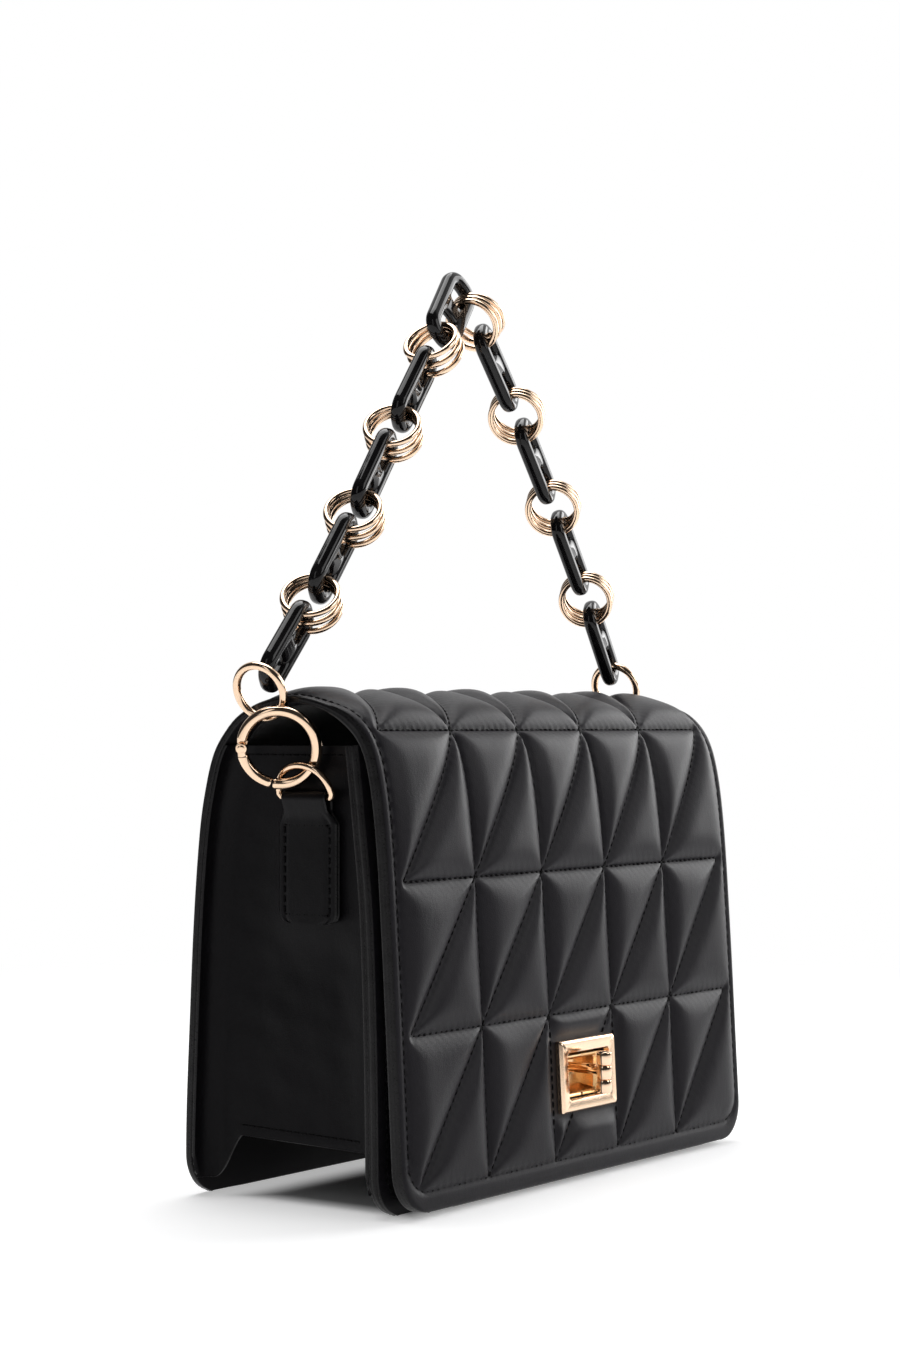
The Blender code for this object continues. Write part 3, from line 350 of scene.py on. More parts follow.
def puff(x, s):
    """Height of the padding over the panel's plain line: a full pillow in each half cell, a low roll
    outside the border seam, nothing under the lock plate, and fine puckers beside every seam."""
    props = bpy.context.scene.bag_leather
    inside = border_distance(x, s)
    d = np.minimum(seam_distance(x, s), np.maximum(inside, 0) + 2e-5)
    t = np.clip(d / PILLOW_REACH, 0, 1)
    pillow = props.puff * (1 - (1 - t) ** 2.5) * (1 + 0.10 * soft_waves(x, s, 0.05, 3))
    slant = 2 * np.pi * (x * 0.8 + s * 0.6) / props.stitch_pitch
    pucker = PUCKER * np.sin(slant) * np.exp(-d / PUCKER_REACH)
    roof = smooth_step((ROWS[4] + ROOF_FADE - s) / ROOF_FADE)
    crease = CREASE * np.exp(-(d / CREASE_REACH) ** 2)
    quilt = (pillow + pucker - crease) * roof
    z_edge = np.interp(s, WRAP.s, WRAP.points[:, 1])
    width = HALF_WIDTH - corner_inset(z_edge, FLAP_LIFT, CORNER)
    edge = np.minimum(width - np.abs(x), s - S_LOW)
    before_rings = 1 - smooth_step((np.interp(s, WRAP.s, WRAP.points[:, 0]) - ROLL_END) / ROLL_FADE)
    before_rings = np.where(s > ROWS[4], 0, before_rings)
    roll = ROLL * (1 - np.exp(-np.maximum(-inside, 0) / ROLL_REACH)) * before_rings
    roll *= 1 - np.exp(-np.maximum(edge, 0) / EDGE_REACH)
    lock = smooth_step(np.maximum(np.abs(x) - LOCK_X, np.abs(s - S_LOCK) - LOCK_S) / LOCK_FADE)
    plain = 0.00012 * soft_waves(x, s, 0.06, 8) * (s > ROWS[4])
    return np.where(inside > 0, quilt * lock + 0.0001, np.where(s > ROWS[4], 0, roll)) + plain


def on_line(line, x, s, depth):
    """Points at places x across a panel and distances s walked on its line, moved inward by depth."""
    y, z = line.at(s, depth)
    return np.stack([x, y, z], axis=-1)


def wrap_point(x, s, lift=0.0):
    """Points of the wrap's outer face: on its line, raised by the padding and by lift."""
    return on_line(WRAP, x, s, -(puff(x, s) + lift))


def wrap_rows():
    """Distances walked at which the wrap has a row: even, but closer round the lower corners."""
    quilted, plain = 0.0009, 0.0022
    turns = np.linspace(0, np.pi / 2, 22)
    low = S_LOW + CORNER * (1 - np.cos(turns))
    face = np.arange(low[-1] + quilted, ROWS[4] + 0.006, quilted)
    back = np.arange(face[-1] + plain, S_BACK_FOOT - CORNER, plain)
    foot = S_BACK_FOOT - CORNER * (1 - np.cos(turns[::-2]))
    s = np.concatenate([low, face, back, foot])
    for edge in window_rows():
        s[np.argmin(np.abs(s - edge))] = edge
    return np.unique(s)


def window_rows():
    """Distances walked to the lower and the upper edge of the window under the lock plate."""
    return [WRAP.walked(LOCK_Z + way * WINDOW_S, 1, 0) for way in (-1, 1)]


def build_wrap(context):
    """Flap, roof and back as one padded panel: outer sheet with quilting, inner sheet, painted edges."""
    s = wrap_rows()
    across = np.linspace(-HALF_WIDTH, HALF_WIDTH, 240)
    for edge in (-WINDOW_X, WINDOW_X):
        across[np.argmin(np.abs(across - edge))] = edge
    across, s = np.meshgrid(across, s)
    faces = grid_faces(*s.shape)
    z = np.interp(s, WRAP.s, WRAP.points[:, 1])
    x = drawn_in(across, corner_inset(z, np.where(s < S_HINGE, FLAP_LIFT, 0.0), CORNER)).ravel()
    s = s.ravel()
    outer = wrap_point(x, s)
    depth = FLAP_THICK + (BACK_THICK - FLAP_THICK) * smooth_step((s - S_HINGE + 0.016) / 0.016)
    inner = on_line(WRAP, x, s, depth)
    centre_x, centre_s = x[faces].mean(1), s[faces].mean(1)
    low, high = window_rows()
    hole = (np.abs(centre_x) < WINDOW_X) & (centre_s > low) & (centre_s < high)
    uv = np.column_stack([x, s])
    made = shell(outer, inner, faces[~hole], painted_edge(0.00035, GROOVES_WRAP), uv)
    mesh = make_mesh("quilted_wrap", *made)
    finishes = [leather("soft_leather"), leather("flap_lining_leather"), edge_paint()]
    piece = add_piece("quilted_wrap", mesh, finishes, None,
                      ("flap_cover", "flap_padding", "flap_lining", "back_cover", "back_board",
                       "roof_padding"))
    return piece


# ---------------------------------------------------------------- stitches

def stitch_template():
    """One thread: a rod with round ends along the first axis; radius follows a flattened arch."""
    along = np.array([-0.5, -0.44, -0.2, 0.2, 0.44, 0.5])
    radius = np.array([0.25, 0.75, 1.0, 1.0, 0.75, 0.25])
    arch = np.array([-0.5, 0.0, 0.45, 0.45, 0.0, -0.5])
    turn = np.linspace(0, 2 * np.pi, 6, endpoint=False)
    side = radius[:, None] * np.cos(turn)
    up = radius[:, None] * np.sin(turn) + arch[:, None]
    points = np.stack([np.repeat(along[:, None], 6, 1), side, up], axis=-1).reshape(-1, 3)
    faces = grid_faces(6, 6, wrap_columns=True)
    caps = np.array([[0, 5, 4, 1], [1, 4, 3, 2], [30, 31, 34, 35], [31, 32, 33, 34]])
    return points, np.vstack([faces, caps])


def stitch_mesh(name, runs, surface, pitch, thread):
    """Threads at an even pitch along runs of surface places. Each takes its direction from the places on
    both sides of it and its height from the surface, which is a function of two arrays of places."""
    centres, ahead = [], []
    for run in runs:
        run = np.asarray(run, float)
        walked = lengths_along(surface(run[:, 0], run[:, 1]))
        count = max(int(round(walked[-1] / pitch)), 1)
        middles = (np.arange(count) + 0.5) * walked[-1] / count
        for store, shift in ((centres, 0), (ahead, pitch * 0.36)):
            store.append(np.column_stack([np.interp(middles + shift, walked, axis) for axis in run.T]))
    centres, ahead = np.vstack(centres), np.vstack(ahead)
    middle = surface(centres[:, 0], centres[:, 1])
    along = surface(ahead[:, 0], ahead[:, 1]) - middle
    size = np.linalg.norm(along, axis=1)
    keep = size > pitch * 0.2
    middle, along, centres = middle[keep], unit(along[keep]), centres[keep]
    step = 2e-4
    du = surface(centres[:, 0] + step, centres[:, 1]) - surface(centres[:, 0] - step, centres[:, 1])
    dv = surface(centres[:, 0], centres[:, 1] + step) - surface(centres[:, 0], centres[:, 1] - step)
    up = unit(np.cross(du, dv))
    side = unit(np.cross(up, along))
    template, faces = stitch_template()
    points = (middle[:, None, :] + template[None, :, :1] * (pitch * 0.74) * along[:, None, :]
              + template[None, :, 1:2] * thread / 2 * side[:, None, :]
              + template[None, :, 2:] * thread / 2 * up[:, None, :])
    offsets = np.arange(len(middle))[:, None, None] * len(template)
    return make_mesh(name, points, (faces[None] + offsets).reshape(-1, 4))


def straight_run(a, b, count=60):
    """Evenly spaced places on the straight line from a to b."""
    return np.linspace(a, b, count)


def looped_run(x, top, foot):
    """A seam down one side from top, round two quarter circles at foot, and up the other side."""
    turn = np.linspace(0, np.pi / 2, 16)
    drop = BORDER_TURN * np.sign(top - foot)
    left = np.column_stack([-x + BORDER_TURN - BORDER_TURN * np.cos(turn),
                            foot + drop - drop * np.sin(turn)])
    return np.vstack([straight_run((-x, top), left[0], 160), left, left[::-1] * [-1, 1],
                      straight_run((x, left[0][1]), (x, top), 160)])


def sew(name, runs, surface, body="bag", pitch=1.0, thread=1.0):
    """Sews runs as one piece; pitch and thread are shares of the leather's settings."""
    props = bpy.context.scene.bag_leather
    mesh = stitch_mesh(name, runs, surface, props.stitch_pitch * pitch, props.thread * thread)
    return add_piece(name, mesh, [thread_with_painted_shade()], body, sharp=0)


def build_quilt_stitches(context):
    """Threads of the quilting: four rows, four columns, a slant in each cell, and the border seam."""
    runs = [straight_run((-0.0995, s), (0.0995, s)) for s in ROWS[1:]]
    runs += [straight_run((x, ROWS[0]), (x, ROWS[4]), 160) for x in np.arange(-0.06, 0.061, CELL)]
    for i in range(5):
        for j in range(4):
            start = 0.10 if i == j == 0 else 0
            runs.append(straight_run(
                (-GRID + CELL * (i + start), ROWS[j] + start * (ROWS[j + 1] - ROWS[j])),
                (-0.06 + CELL * i, ROWS[j + 1])))
    runs.append(looped_run(BORDER_X, ROWS[4], ROWS[0]))
    kept = []
    for run in runs:
        clear = (np.abs(run[:, 0]) > 0.0178) | (np.abs(run[:, 1] - S_LOCK) > 0.0125)
        parts = np.split(np.arange(len(run)), np.flatnonzero(np.diff(clear.astype(int))) + 1)
        kept += [run[p] for p in parts if clear[p[0]] and len(p) > 1]
    return sew("quilt_stitches", kept, lambda x, s: wrap_point(x, s, 0.00002), None)


def build_back_stitches(context):
    """Threads beside the edges of the roof and the back panel, with rounded lower corners."""
    run = looped_run(0.1034, ROWS[4] + 0.002, S_BACK_FOOT - 0.0042)
    return sew("back_stitches", [run], lambda x, s: wrap_point(x, s, 0.00005))


# ---------------------------------------------------------------- leather body

def build_front_panel(context):
    """The stiff panel behind the flap: two sheets with rounded lower corners and a painted edge."""
    step, stem = 0.002, np.array([-STEM_HOLE, STEM_HOLE])
    low = FRONT.s_low + CORNER * (1 - np.cos(np.linspace(0, np.pi / 2, 20)))
    edge = np.interp(STEM_Z + stem, FRONT.points[:, 1], FRONT.s)
    s = np.concatenate([low, np.arange(low[-1] + step, FRONT.s_top, step), [FRONT.s_top], edge])
    across = np.concatenate([np.linspace(-HALF_WIDTH, HALF_WIDTH, 110), stem])
    across, s = np.meshgrid(np.unique(across), np.unique(s))
    faces = grid_faces(*s.shape)
    s = s.ravel()
    z = np.interp(s, FRONT.s, FRONT.points[:, 1])
    x = drawn_in(across.ravel(), corner_inset(z, 0.0, CORNER))
    sheets = [on_line(FRONT, x, s, depth) for depth in (0.0, FRONT_THICK)]
    centre_x, centre_s = x[faces].mean(1), s[faces].mean(1)
    hole = (np.abs(centre_x) < STEM_HOLE) & (centre_s > edge[0]) & (centre_s < edge[1])
    uv = np.column_stack([x, s])
    made = shell(*sheets, faces[~hole], painted_edge(0.00035, GROOVES_FRONT), uv)
    mesh = make_mesh("front_panel", *made)
    finishes = [leather("soft_leather"), leather("flap_lining_leather"), edge_paint()]
    return add_piece("front_panel", mesh, finishes, "bag", ("front_cover", "front_board"))


def build_front_stitches(context):
    """Threads all round the front panel, beside its edge."""
    x, top = 0.1030, FRONT.s_top - 0.0034
    run = np.vstack([looped_run(x, top, FRONT.s_low + 0.0044), straight_run((x, top), (-x, top), 160)])
    return sew("front_stitches", [run], lambda x, s: on_line(FRONT, x, s, -0.00004))


def body_faces(z):
    """Y of the front panel's and of the back panel's inner faces at heights z."""
    y, h = FRONT.at(FRONT.s, FRONT_THICK)
    front = np.interp(z, h, y)
    y, h = WRAP.at(WRAP.s, BACK_THICK)
    part = slice(int(np.argmax(h)), None)
    back = np.interp(z, h[part][::-1], y[part][::-1])
    return front, back


def gusset_middle(t, z):
    """Mid surface of a gusset, outward place and y: t runs from the front flange over a round bend,
    the web and a second bend to the back flange. The web sags in and has a few soft creases."""
    front, back = body_faces(z)
    front, back = front + LEATHER / 2, back - LEATHER / 2
    flange, bend = HALF_WIDTH - WEB_X - BEND, np.pi / 2 * BEND
    web = back - front - 2 * BEND
    total = 2 * flange + 2 * bend + web
    w = t * total
    near = np.minimum(w, total - w)
    turn = np.clip((near - flange) / BEND, 0, np.pi / 2)
    x = np.where(near < flange, HALF_WIDTH - near, WEB_X + BEND - BEND * np.sin(turn))
    away = np.where(near < flange, 0, BEND * (1 - np.cos(turn))) + np.maximum(near - flange - bend, 0)
    y = np.where(w < total / 2, front + away, back - away)
    u = np.clip((near - flange - bend * 0.6) / (0.5 * web), 0, 1)
    h = (z - GUSSET_LOW) / (GUSSET_HIGH - GUSSET_LOW)
    sag = smooth_step(u * 1.6) * np.sin(np.pi * np.clip(h, 0, 1)) ** 0.8
    crease = 0.00022 * soft_waves(y * 1.3, z * 0.55, 0.028, 21) + 0.00010 * soft_waves(y, z, 0.014, 5)
    pocket = 1 - np.exp(-((y - 0.0027) / 0.017) ** 4 - ((z - 0.115) / 0.028) ** 4)
    x = x - (0.0016 * sag + (crease + 0.0009) * smooth_step(u * 2.5) * (0.25 + 0.75 * sag)) * pocket
    x = np.minimum(x, HALF_WIDTH - corner_inset(z, 0.0, CORNER))
    return x, y


def gusset_foot(t):
    """Lower edge of a gusset: level under the web, and drawn down into both panels' feet at the flanges."""
    back = smooth_step((t - 0.76) / 0.14)
    front = smooth_step((0.16 - t) / 0.10)
    return GUSSET_LOW - 0.0022 * (1 - t) - 0.0150 * back - 0.0115 * front


def gusset_surface(side, lift):
    """A face of a gusset as a function of t and z: the mid surface, moved by lift along its normal."""
    def surface(t, z):
        x, y = gusset_middle(t, z)
        x2, y2 = gusset_middle(np.clip(t + 1e-3, 0, 1), z)
        x1, y1 = gusset_middle(np.clip(t - 1e-3, 0, 1), z)
        n = unit(np.stack([y2 - y1, x1 - x2], axis=-1))
        return np.stack([side * (x + lift * n[..., 0]), y + lift * n[..., 1], z], axis=-1)
    return surface


def build_gussets(context):
    """Both side gussets with painted edges, and the threads along their top and bottom hems."""
    hem, top = np.linspace(0.17, 0.77, 130), GUSSET_HIGH - 0.0030
    runs = [straight_run((0.10, top), (0.90, top), 120),
            np.column_stack([hem, gusset_foot(hem) + 0.0034])]
    for side, word in ((-1, "left"), (1, "right")):
        t, z = np.meshgrid(np.linspace(0, 1, 120), np.linspace(GUSSET_LOW, GUSSET_HIGH, 100))
        faces = grid_faces(*t.shape)
        t, z = t.ravel(), z.ravel()
        drop = GUSSET_HIGH - gusset_foot(t)
        z = GUSSET_HIGH - (GUSSET_HIGH - z) * drop / (GUSSET_HIGH - GUSSET_LOW)
        sheets = [gusset_surface(side, way * LEATHER / 2)(t, z) for way in (1, -1)]
        made = shell(*sheets, faces, painted_edge(0.00015, ()), np.column_stack([t * 0.11, z]), 3)
        mesh = make_mesh(word + "_gusset_leather_painted_shade", *made)
        # The gusset's leather is darkened as painted shade of the bag's side
        finishes = [leather("gusset_leather_painted_shade"), lining_cloth(), edge_paint()]
        add_piece(word + "_gusset_leather_painted_shade", mesh, finishes, "bag", (word + "_gusset",))
        sew(word + "_gusset_stitches", runs, gusset_surface(side, LEATHER / 2), pitch=1.05, thread=1.3)


def build_base(context):
    """The recessed base: a leather sheet round its board, with soft edges and a groove all round. Its
    two middle rows are filled across instead of being joined to each other."""
    low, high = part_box("base_panel")
    foot, top = low[2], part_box("base_board")[1][2]
    middle = [(low[k] + high[k]) / 2 for k in (0, 1)]
    rows = []
    for inset, z in ((0.0, foot + 0.0004), (0.0004, foot), (0.0030, foot), (0.0036, foot + 0.00025),
                     (0.0042, foot), (0.030, foot), (0.030, top), (0.0004, top), (0.0, top - 0.0004)):
        w, d = (high[0] - low[0]) / 2 - inset, (high[1] - low[1]) / 2 - inset
        x, y = rounded_loop(w, d, max(0.003 - inset, 0.0002), 14)
        rows.append(np.column_stack([x + middle[0], y + middle[1], np.full(len(x), z)]))
    count, last = len(rows[0]), 5
    faces = grid_faces(len(rows), count, wrap_rows=True, wrap_columns=True)
    faces = faces[faces[:, 0] // count != last]
    fill = [strip_fill(count, row * count) for row in (last, last + 1)]
    mesh = make_mesh("base_leather", np.vstack(rows), np.vstack([faces] + fill))
    # The base takes the gusset's leather, darkened as painted shade
    add_piece("base_leather", mesh, [leather("gusset_leather_painted_shade")], "bag",
              ("base_panel", "base_board"))


def strip_fill(count, base):
    """Quads across a closed loop of an even count of points, from one half to the other."""
    k = np.arange(count // 2 - 1)
    quads = np.column_stack([k, k + 1, count - 2 - k, count - 1 - k])
    return quads[quads[:, 1] < quads[:, 2]] + base


def rounded_loop(half_w, half_h, radius, steps, extra=()):
    """Closed loop round a rectangle with round corners; extra adds points beside the middle of the
    level sides. It starts in the middle of the right side, so opposite points face each other."""
    radius = min(radius, half_w, half_h)
    turn = np.linspace(0, np.pi / 2, steps)
    cx, cy = radius * np.cos(turn), radius * np.sin(turn)
    w, h = half_w - radius, half_h - radius
    e = np.array(sorted(extra, reverse=True), float)
    level = [-e[::-1], [0], e]
    x = np.concatenate([w + cx, e, [0], -e[::-1], -w - cx[::-1], -w - cx, *level, w + cx[::-1]])
    level = np.full(2 * len(e) + 1, half_h)
    y = np.concatenate([h + cy, level, h + cy[::-1], -h - cy, -level, -h - cy[::-1]])
    return x, y


def loft(loops, placing):
    """Rows of equal count joined into a closed skin, the last row to the first."""
    points = np.vstack([placing(*row) for row in loops])
    return points, grid_faces(len(loops), len(loops[0][0]), wrap_rows=True, wrap_columns=True)


def tab_section():
    """A tab's strap line in the side view: up the outer layer, over the D-ring's bar and down inside."""
    face, bar_out = WEB_X + 0.0010, WEB_X + BAR_OUT
    over, under, bend = face + 0.00195, face + 0.00065, 0.00205
    turn = np.radians(np.linspace(-25, 200, 40))
    loop = np.column_stack([bar_out + bend * np.cos(turn), BAR_Z + bend * np.sin(turn)])
    outer = smooth_path(np.array([[over, TAB_FOOT], [over, 0.1120], [over, 0.1220],
                                  [face + 0.0022, 0.1268], [face + 0.0035, 0.1303], loop[0]]), 24)
    inner = smooth_path(np.array([loop[-1], [under, 0.1310], [under, 0.1240], [under, TAB_FOOT]]), 24)
    return np.vstack([outer[:-1], loop, inner[1:]]), len(outer) - 1


def build_tabs(context):
    """Both side tabs: a folded strap with soft painted edges, and the threads round its outer layer."""
    line, outer_count = tab_section()
    walked = lengths_along(line)
    along = unit(np.gradient(line, walked, axis=0))
    normal = np.column_stack([along[:, 1], -along[:, 0]])
    z = line[:, 1]
    # Half width along the strap: wide below, narrow where it goes over the bar, and rounded at the foot
    neck, turn = smooth_step((z - 0.1255) / 0.0050), 0.0034
    half = 0.0123 - 0.0029 * neck
    foot = np.clip((TAB_FOOT + turn - z) / turn, 0, 1)
    half = half - turn * (1 - np.sqrt(np.maximum(1 - foot ** 2, 0)))
    # Section across the strap: out along its face, back along its underside, with rounded edges
    w = np.linspace(1, -1, 37)
    w = np.sign(w) * np.abs(w) ** 0.8
    w, face = np.concatenate([w, w[::-1][1:-1]]), np.concatenate([np.ones(37), -np.ones(35)])
    thick, count = 0.00064, len(w)
    h = face * thick * np.sqrt(np.maximum(1 - np.abs(w) ** 14, 0.0))
    seam = np.exp(-((np.abs(w) - 0.76) / 0.07) ** 2)
    plump = (0.00050 * (1 - np.abs(w) ** 6) - 0.00050 * seam) * (face > 0)
    offset = h[None, :] + plump[None, :] * (1 - neck[:, None])
    y = TAB_Y + (half[:, None] - 0.0002) * w[None, :]
    faces = grid_faces(len(line), count, wrap_columns=True)
    ends = [strip_fill(count, 0), strip_fill(count, (len(line) - 1) * count)]
    painted = np.isin(faces[:, 0] % count, (count - 1, 0, count // 2 - 1, count // 2))
    rim = np.concatenate([painted, np.ones(sum(len(e) for e in ends))])
    uv = np.column_stack([y.ravel(), np.repeat(walked, count)])
    top = float(np.interp(0.1252, z[:outer_count], walked[:outer_count]))
    x, low = 0.0094, 0.0028
    ring = [(-x, top), (-x, low), (x, low), (x, top), (-x, top)]
    runs = [straight_run(a, b) for a, b in zip(ring, ring[1:])]
    for side, word in ((-1, "left"), (1, "right")):
        points = np.stack([side * (line[:, :1] + normal[:, :1] * offset), y,
                           line[:, 1:] + normal[:, 1:] * offset], axis=-1)
        mesh = make_mesh(word + "_tab_leather_painted_shade", points, np.vstack([faces] + ends), uv, rim)
        # The tab's leather is darkened as painted shade of the bag's side
        add_piece(word + "_tab_leather_painted_shade", mesh, [leather("tab_leather_painted_shade"), edge_paint()], "bag",
                  (word + "_tab",), sharp=60)

        def surface(v, s):
            """Places on the outer layer: v across it, s along the strap, and just above the leather."""
            px, pz = (np.interp(s, walked, at) + np.interp(s, walked, out) * (thick + 0.00018)
                      for at, out in zip(line.T, normal.T))
            return np.stack([side * px, TAB_Y + v, pz], axis=-1)

        sew(word + "_tab_stitches", runs, surface, pitch=1.05, thread=1.5)


# ---------------------------------------------------------------- linings

def cloth_on(name, line, first, last, depth, half, pocket=False):
    """A cloth sheet against a panel's inside: the line's points moved in by depth, with a slight ripple,
    round edges and a stitched hem at the upper edge. A pocket is sewn round its other sides too."""
    x, s = (g.ravel() for g in np.meshgrid(np.linspace(-half, half, 90), np.linspace(first, last, 70)))
    ripple = 0.00005 * soft_waves(x, s, 0.03, 17)
    sheets = [on_line(line, x, s, d) for d in (depth + ripple * 0.5, depth + CLOTH + ripple)]
    made = shell(*sheets, grid_faces(70, 90), painted_edge(CLOTH * 0.3, ()), np.column_stack([x, s]), 3)
    piece = add_piece(name + "_cloth", make_mesh(name + "_cloth", *made), [lining_cloth()] * 3, "bag",
                      (name,))
    inset = 0.0030
    drop = inset * np.sign(last - first)
    w, hem, foot = half - inset, first + drop, last - drop
    corners = [(-w, hem), (-w, foot), (w, foot), (w, hem)]
    runs = [straight_run(corners[0], corners[-1])]
    if pocket:
        runs += [straight_run(a, b) for a, b in zip(corners, corners[1:])]
    sew(name + "_cloth_stitches", runs, lambda x, s: on_line(line, x, s, depth + CLOTH + 0.00012),
        thread=0.8)


def build_linings(context):
    """Back lining with the roof's, slip pocket on the back, and front lining."""
    floor = GUSSET_LOW + 0.0036
    cloth_on("back_lining", WRAP, S_HINGE + 0.0004, WRAP.walked(floor, 1, 1), BACK_THICK, 0.0965)
    pocket_low, pocket_high = WRAP.walked(0.0560, 1, 1), WRAP.walked(0.1260, 1, 1)
    cloth_on("slip_pocket", WRAP, pocket_high, pocket_low, BACK_THICK + 0.0010, 0.0620, pocket=True)
    foot = float(np.interp(floor, FRONT.points[:, 1], FRONT.s))
    cloth_on("front_lining", FRONT, FRONT.s_top, foot, FRONT_THICK, 0.0965)


# ---------------------------------------------------------------- rings and links

def node_points(name):
    """Places of a CAD node's points."""
    mesh = frame["nodes"][name].data
    points = np.empty(len(mesh.vertices) * 3)
    mesh.vertices.foreach_get("co", points)
    return points.reshape(-1, 3)


def node_axes(name):
    """Middle and principal directions of a CAD node, the longest spread first. The middle is half way
    between the node's limits along each direction."""
    points = np.unique(np.round(node_points(name), 6), axis=0)
    mean = points.mean(0)
    _, _, axes = np.linalg.svd(points - mean, full_matrices=False)
    axes[2] = np.cross(axes[0], axes[1])
    local = (points - mean) @ axes.T
    return mean + ((local.min(0) + local.max(0)) / 2) @ axes, axes


def facing_axes(through):
    """Level, upward and through directions of a ring whose hole looks along through."""
    through = unit(np.asarray(through, float))
    flat = unit(np.cross([0, 0, 1], through))
    return np.stack([flat, np.cross(through, flat), through])


def tube(line, radius, sides, closed, through=None, square=2.0):
    """A round or softly squared section carried along a line: cos and sin raised to 2 / square."""
    step = np.roll(line, -1, 0) - np.roll(line, 1, 0)
    if not closed:
        step = np.gradient(line, axis=0)
    along = unit(step)
    up = unit(np.broadcast_to(through, line.shape) - (along @ through)[:, None] * along)
    side = np.cross(along, up)
    turn = np.linspace(0, 2 * np.pi, sides, endpoint=False)
    c, s = (np.sign(f) * np.abs(f) ** (2 / square) for f in (np.cos(turn), np.sin(turn)))
    r = np.broadcast_to(np.asarray(radius, float), (len(line),))[:, None, None]
    points = line[:, None] + r * (c[None, :, None] * side[:, None] + s[None, :, None] * up[:, None])
    faces = grid_faces(len(line), sides, wrap_rows=closed, wrap_columns=True)
    if not closed:
        faces = np.vstack([faces, strip_fill(sides, 0), strip_fill(sides, (len(line) - 1) * sides)])
    return points.reshape(-1, 3), faces


def circle(centre, axes, radius, count, start=0.0, end=2 * np.pi, closed=True):
    """Points on a circle or a part of one: cosine along the first axis, sine along the second."""
    turn = np.linspace(start, end, count, endpoint=not closed)
    return centre + radius * (np.cos(turn)[:, None] * axes[0] + np.sin(turn)[:, None] * axes[1])


def joined(parts):
    """Several skins in one mesh's arrays."""
    points, faces, base = [], [], 0
    for p, f in parts:
        points.append(p)
        faces.append(f + base)
        base += len(p)
    return np.vstack(points), np.vstack(faces)


def fit(name, made, body, node, sharp=0, finish="gold_plating"):
    """Adds a metal fitting, made of points and faces, in place of a CAD node."""
    add_piece(name, make_mesh(name, *made), [plating(finish)], body, (node,), sharp=sharp)


def build_jump_rings(context):
    """Eight sets of three jump rings, close together at the top and fanned out below by the set angle,
    and the single end rings."""
    radius, wire, apart = 0.0094, 0.00108, 0.0022
    fan = np.radians(context.scene.bag_metal.ring_fan)
    for k in range(1, 9):
        centre, axes = node_axes("ring_set_%d" % k)
        down = -unit(axes[0] * axes[0][2] + axes[1] * axes[1][2])
        flat = np.cross(down, axes[2])
        parts = []
        for way in (-1, 0, 1):
            tilt = way * fan
            ring = np.stack([flat, np.cos(tilt) * down + np.sin(tilt) * axes[2],
                             np.cos(tilt) * axes[2] - np.sin(tilt) * down])
            shift = way * (apart + radius * np.sin(abs(tilt)) * 0.9)
            line = circle(centre + shift * axes[2], ring, radius, 96)
            parts.append(tube(line, wire, 20, True, ring[2]))
        fit("jump_rings_%d" % k, joined(parts), "rings_%d" % min(k, 9 - k), "ring_set_%d" % k)
    for word in ("left", "right"):
        centre, axes = node_axes(word + "_end_ring")
        line = circle(centre, axes, 0.0091, 110)
        ring = tube(line, 0.00138, 24, True, axes[2])
        fit(word + "_chain_ring", ring, "end_rings", word + "_end_ring")


# Of each spring-gate ring: side, distance out, setback, height, and its turn and lean in degrees
O_RINGS = {
    "left": (-1, 0.1097, 0.04932, 0.1507, 29.8, 15.5),
    "right": (1, 0.1110, 0.04974, 0.15335, 16.7, 9.8),
}


def build_gate_rings(context):
    """Spring-gate rings: a body and a gate of round wire, lapped and riveted at the hinge and parted by a
    fine split, each end rounded over."""
    for word, (side, out, back, height, turn, lean) in O_RINGS.items():
        turn, lean = np.radians(turn), np.radians(lean)
        level = np.cos(lean)
        axes = facing_axes((side * np.cos(turn) * level, -np.sin(turn) * level, -np.sin(lean)))
        centre = np.array([side * out, FRONT_Y + back, height])
        wire, radius = 0.0037 / 2, 0.0124
        pivot, split = np.pi, np.pi + np.radians(77)
        gap, lap = np.radians(1.5), np.radians(11)
        for name, start, end, node in (("ring_body", split + gap, 3 * np.pi - lap, word + "_o_ring"),
                                       ("ring_gate", pivot + lap, split - gap, word + "_gate")):
            count = int(abs(end - start) / np.radians(2.2))
            line = circle(centre, axes, radius, count, start, end, False)
            step = radius * (end - start) / (count - 1)
            reach = np.minimum(np.arange(count), np.arange(count)[::-1]) * step
            r = wire * np.sqrt(np.clip(1 - (1 - np.clip(reach / 0.0006, 0, 1)) ** 2 * 0.35, 0, 1))
            parts = [tube(line, r, 26, False, axes[2])]
            hinge = centre + radius * (np.cos(pivot) * axes[0] + np.sin(pivot) * axes[1])
            half = -1 if name == "ring_body" else 1
            parts.append(knuckle(hinge, axes, half, 0.0019, wire))
            near = line[-1] if name == "ring_body" else line[0]
            parts.append(tongue(near, hinge, axes, half, wire))
            body = "o_rings" if name == "ring_body" else word + "_ring_gate"
            fit(word + "_" + name, joined(parts), body, node, 40)
        pin = [(0.0, 0.0024), (0.0006, 0.00238), (0.00105, 0.00228), (0.0013, 0.00212),
               (0.0013, 0.00190), (0.00075, 0.00188)]
        pin = pin + [(r, -h) for r, h in reversed(pin)]
        fit(word + "_rivet", turned(pin, hinge, axes, 28), "o_rings", word + "_gate_rivet", 40)


def turned(profile, centre, axes, sides):
    """A profile of (radius, height) turned about the third axis."""
    r, h = np.array(profile).T
    turn = np.linspace(0, 2 * np.pi, sides, endpoint=False)
    ring = np.cos(turn)[:, None] * axes[0] + np.sin(turn)[:, None] * axes[1]
    points = centre + np.maximum(r, 1e-7)[:, None, None] * ring[None] + h[:, None, None] * axes[2]
    return points.reshape(-1, 3), grid_faces(len(profile), sides, wrap_columns=True)


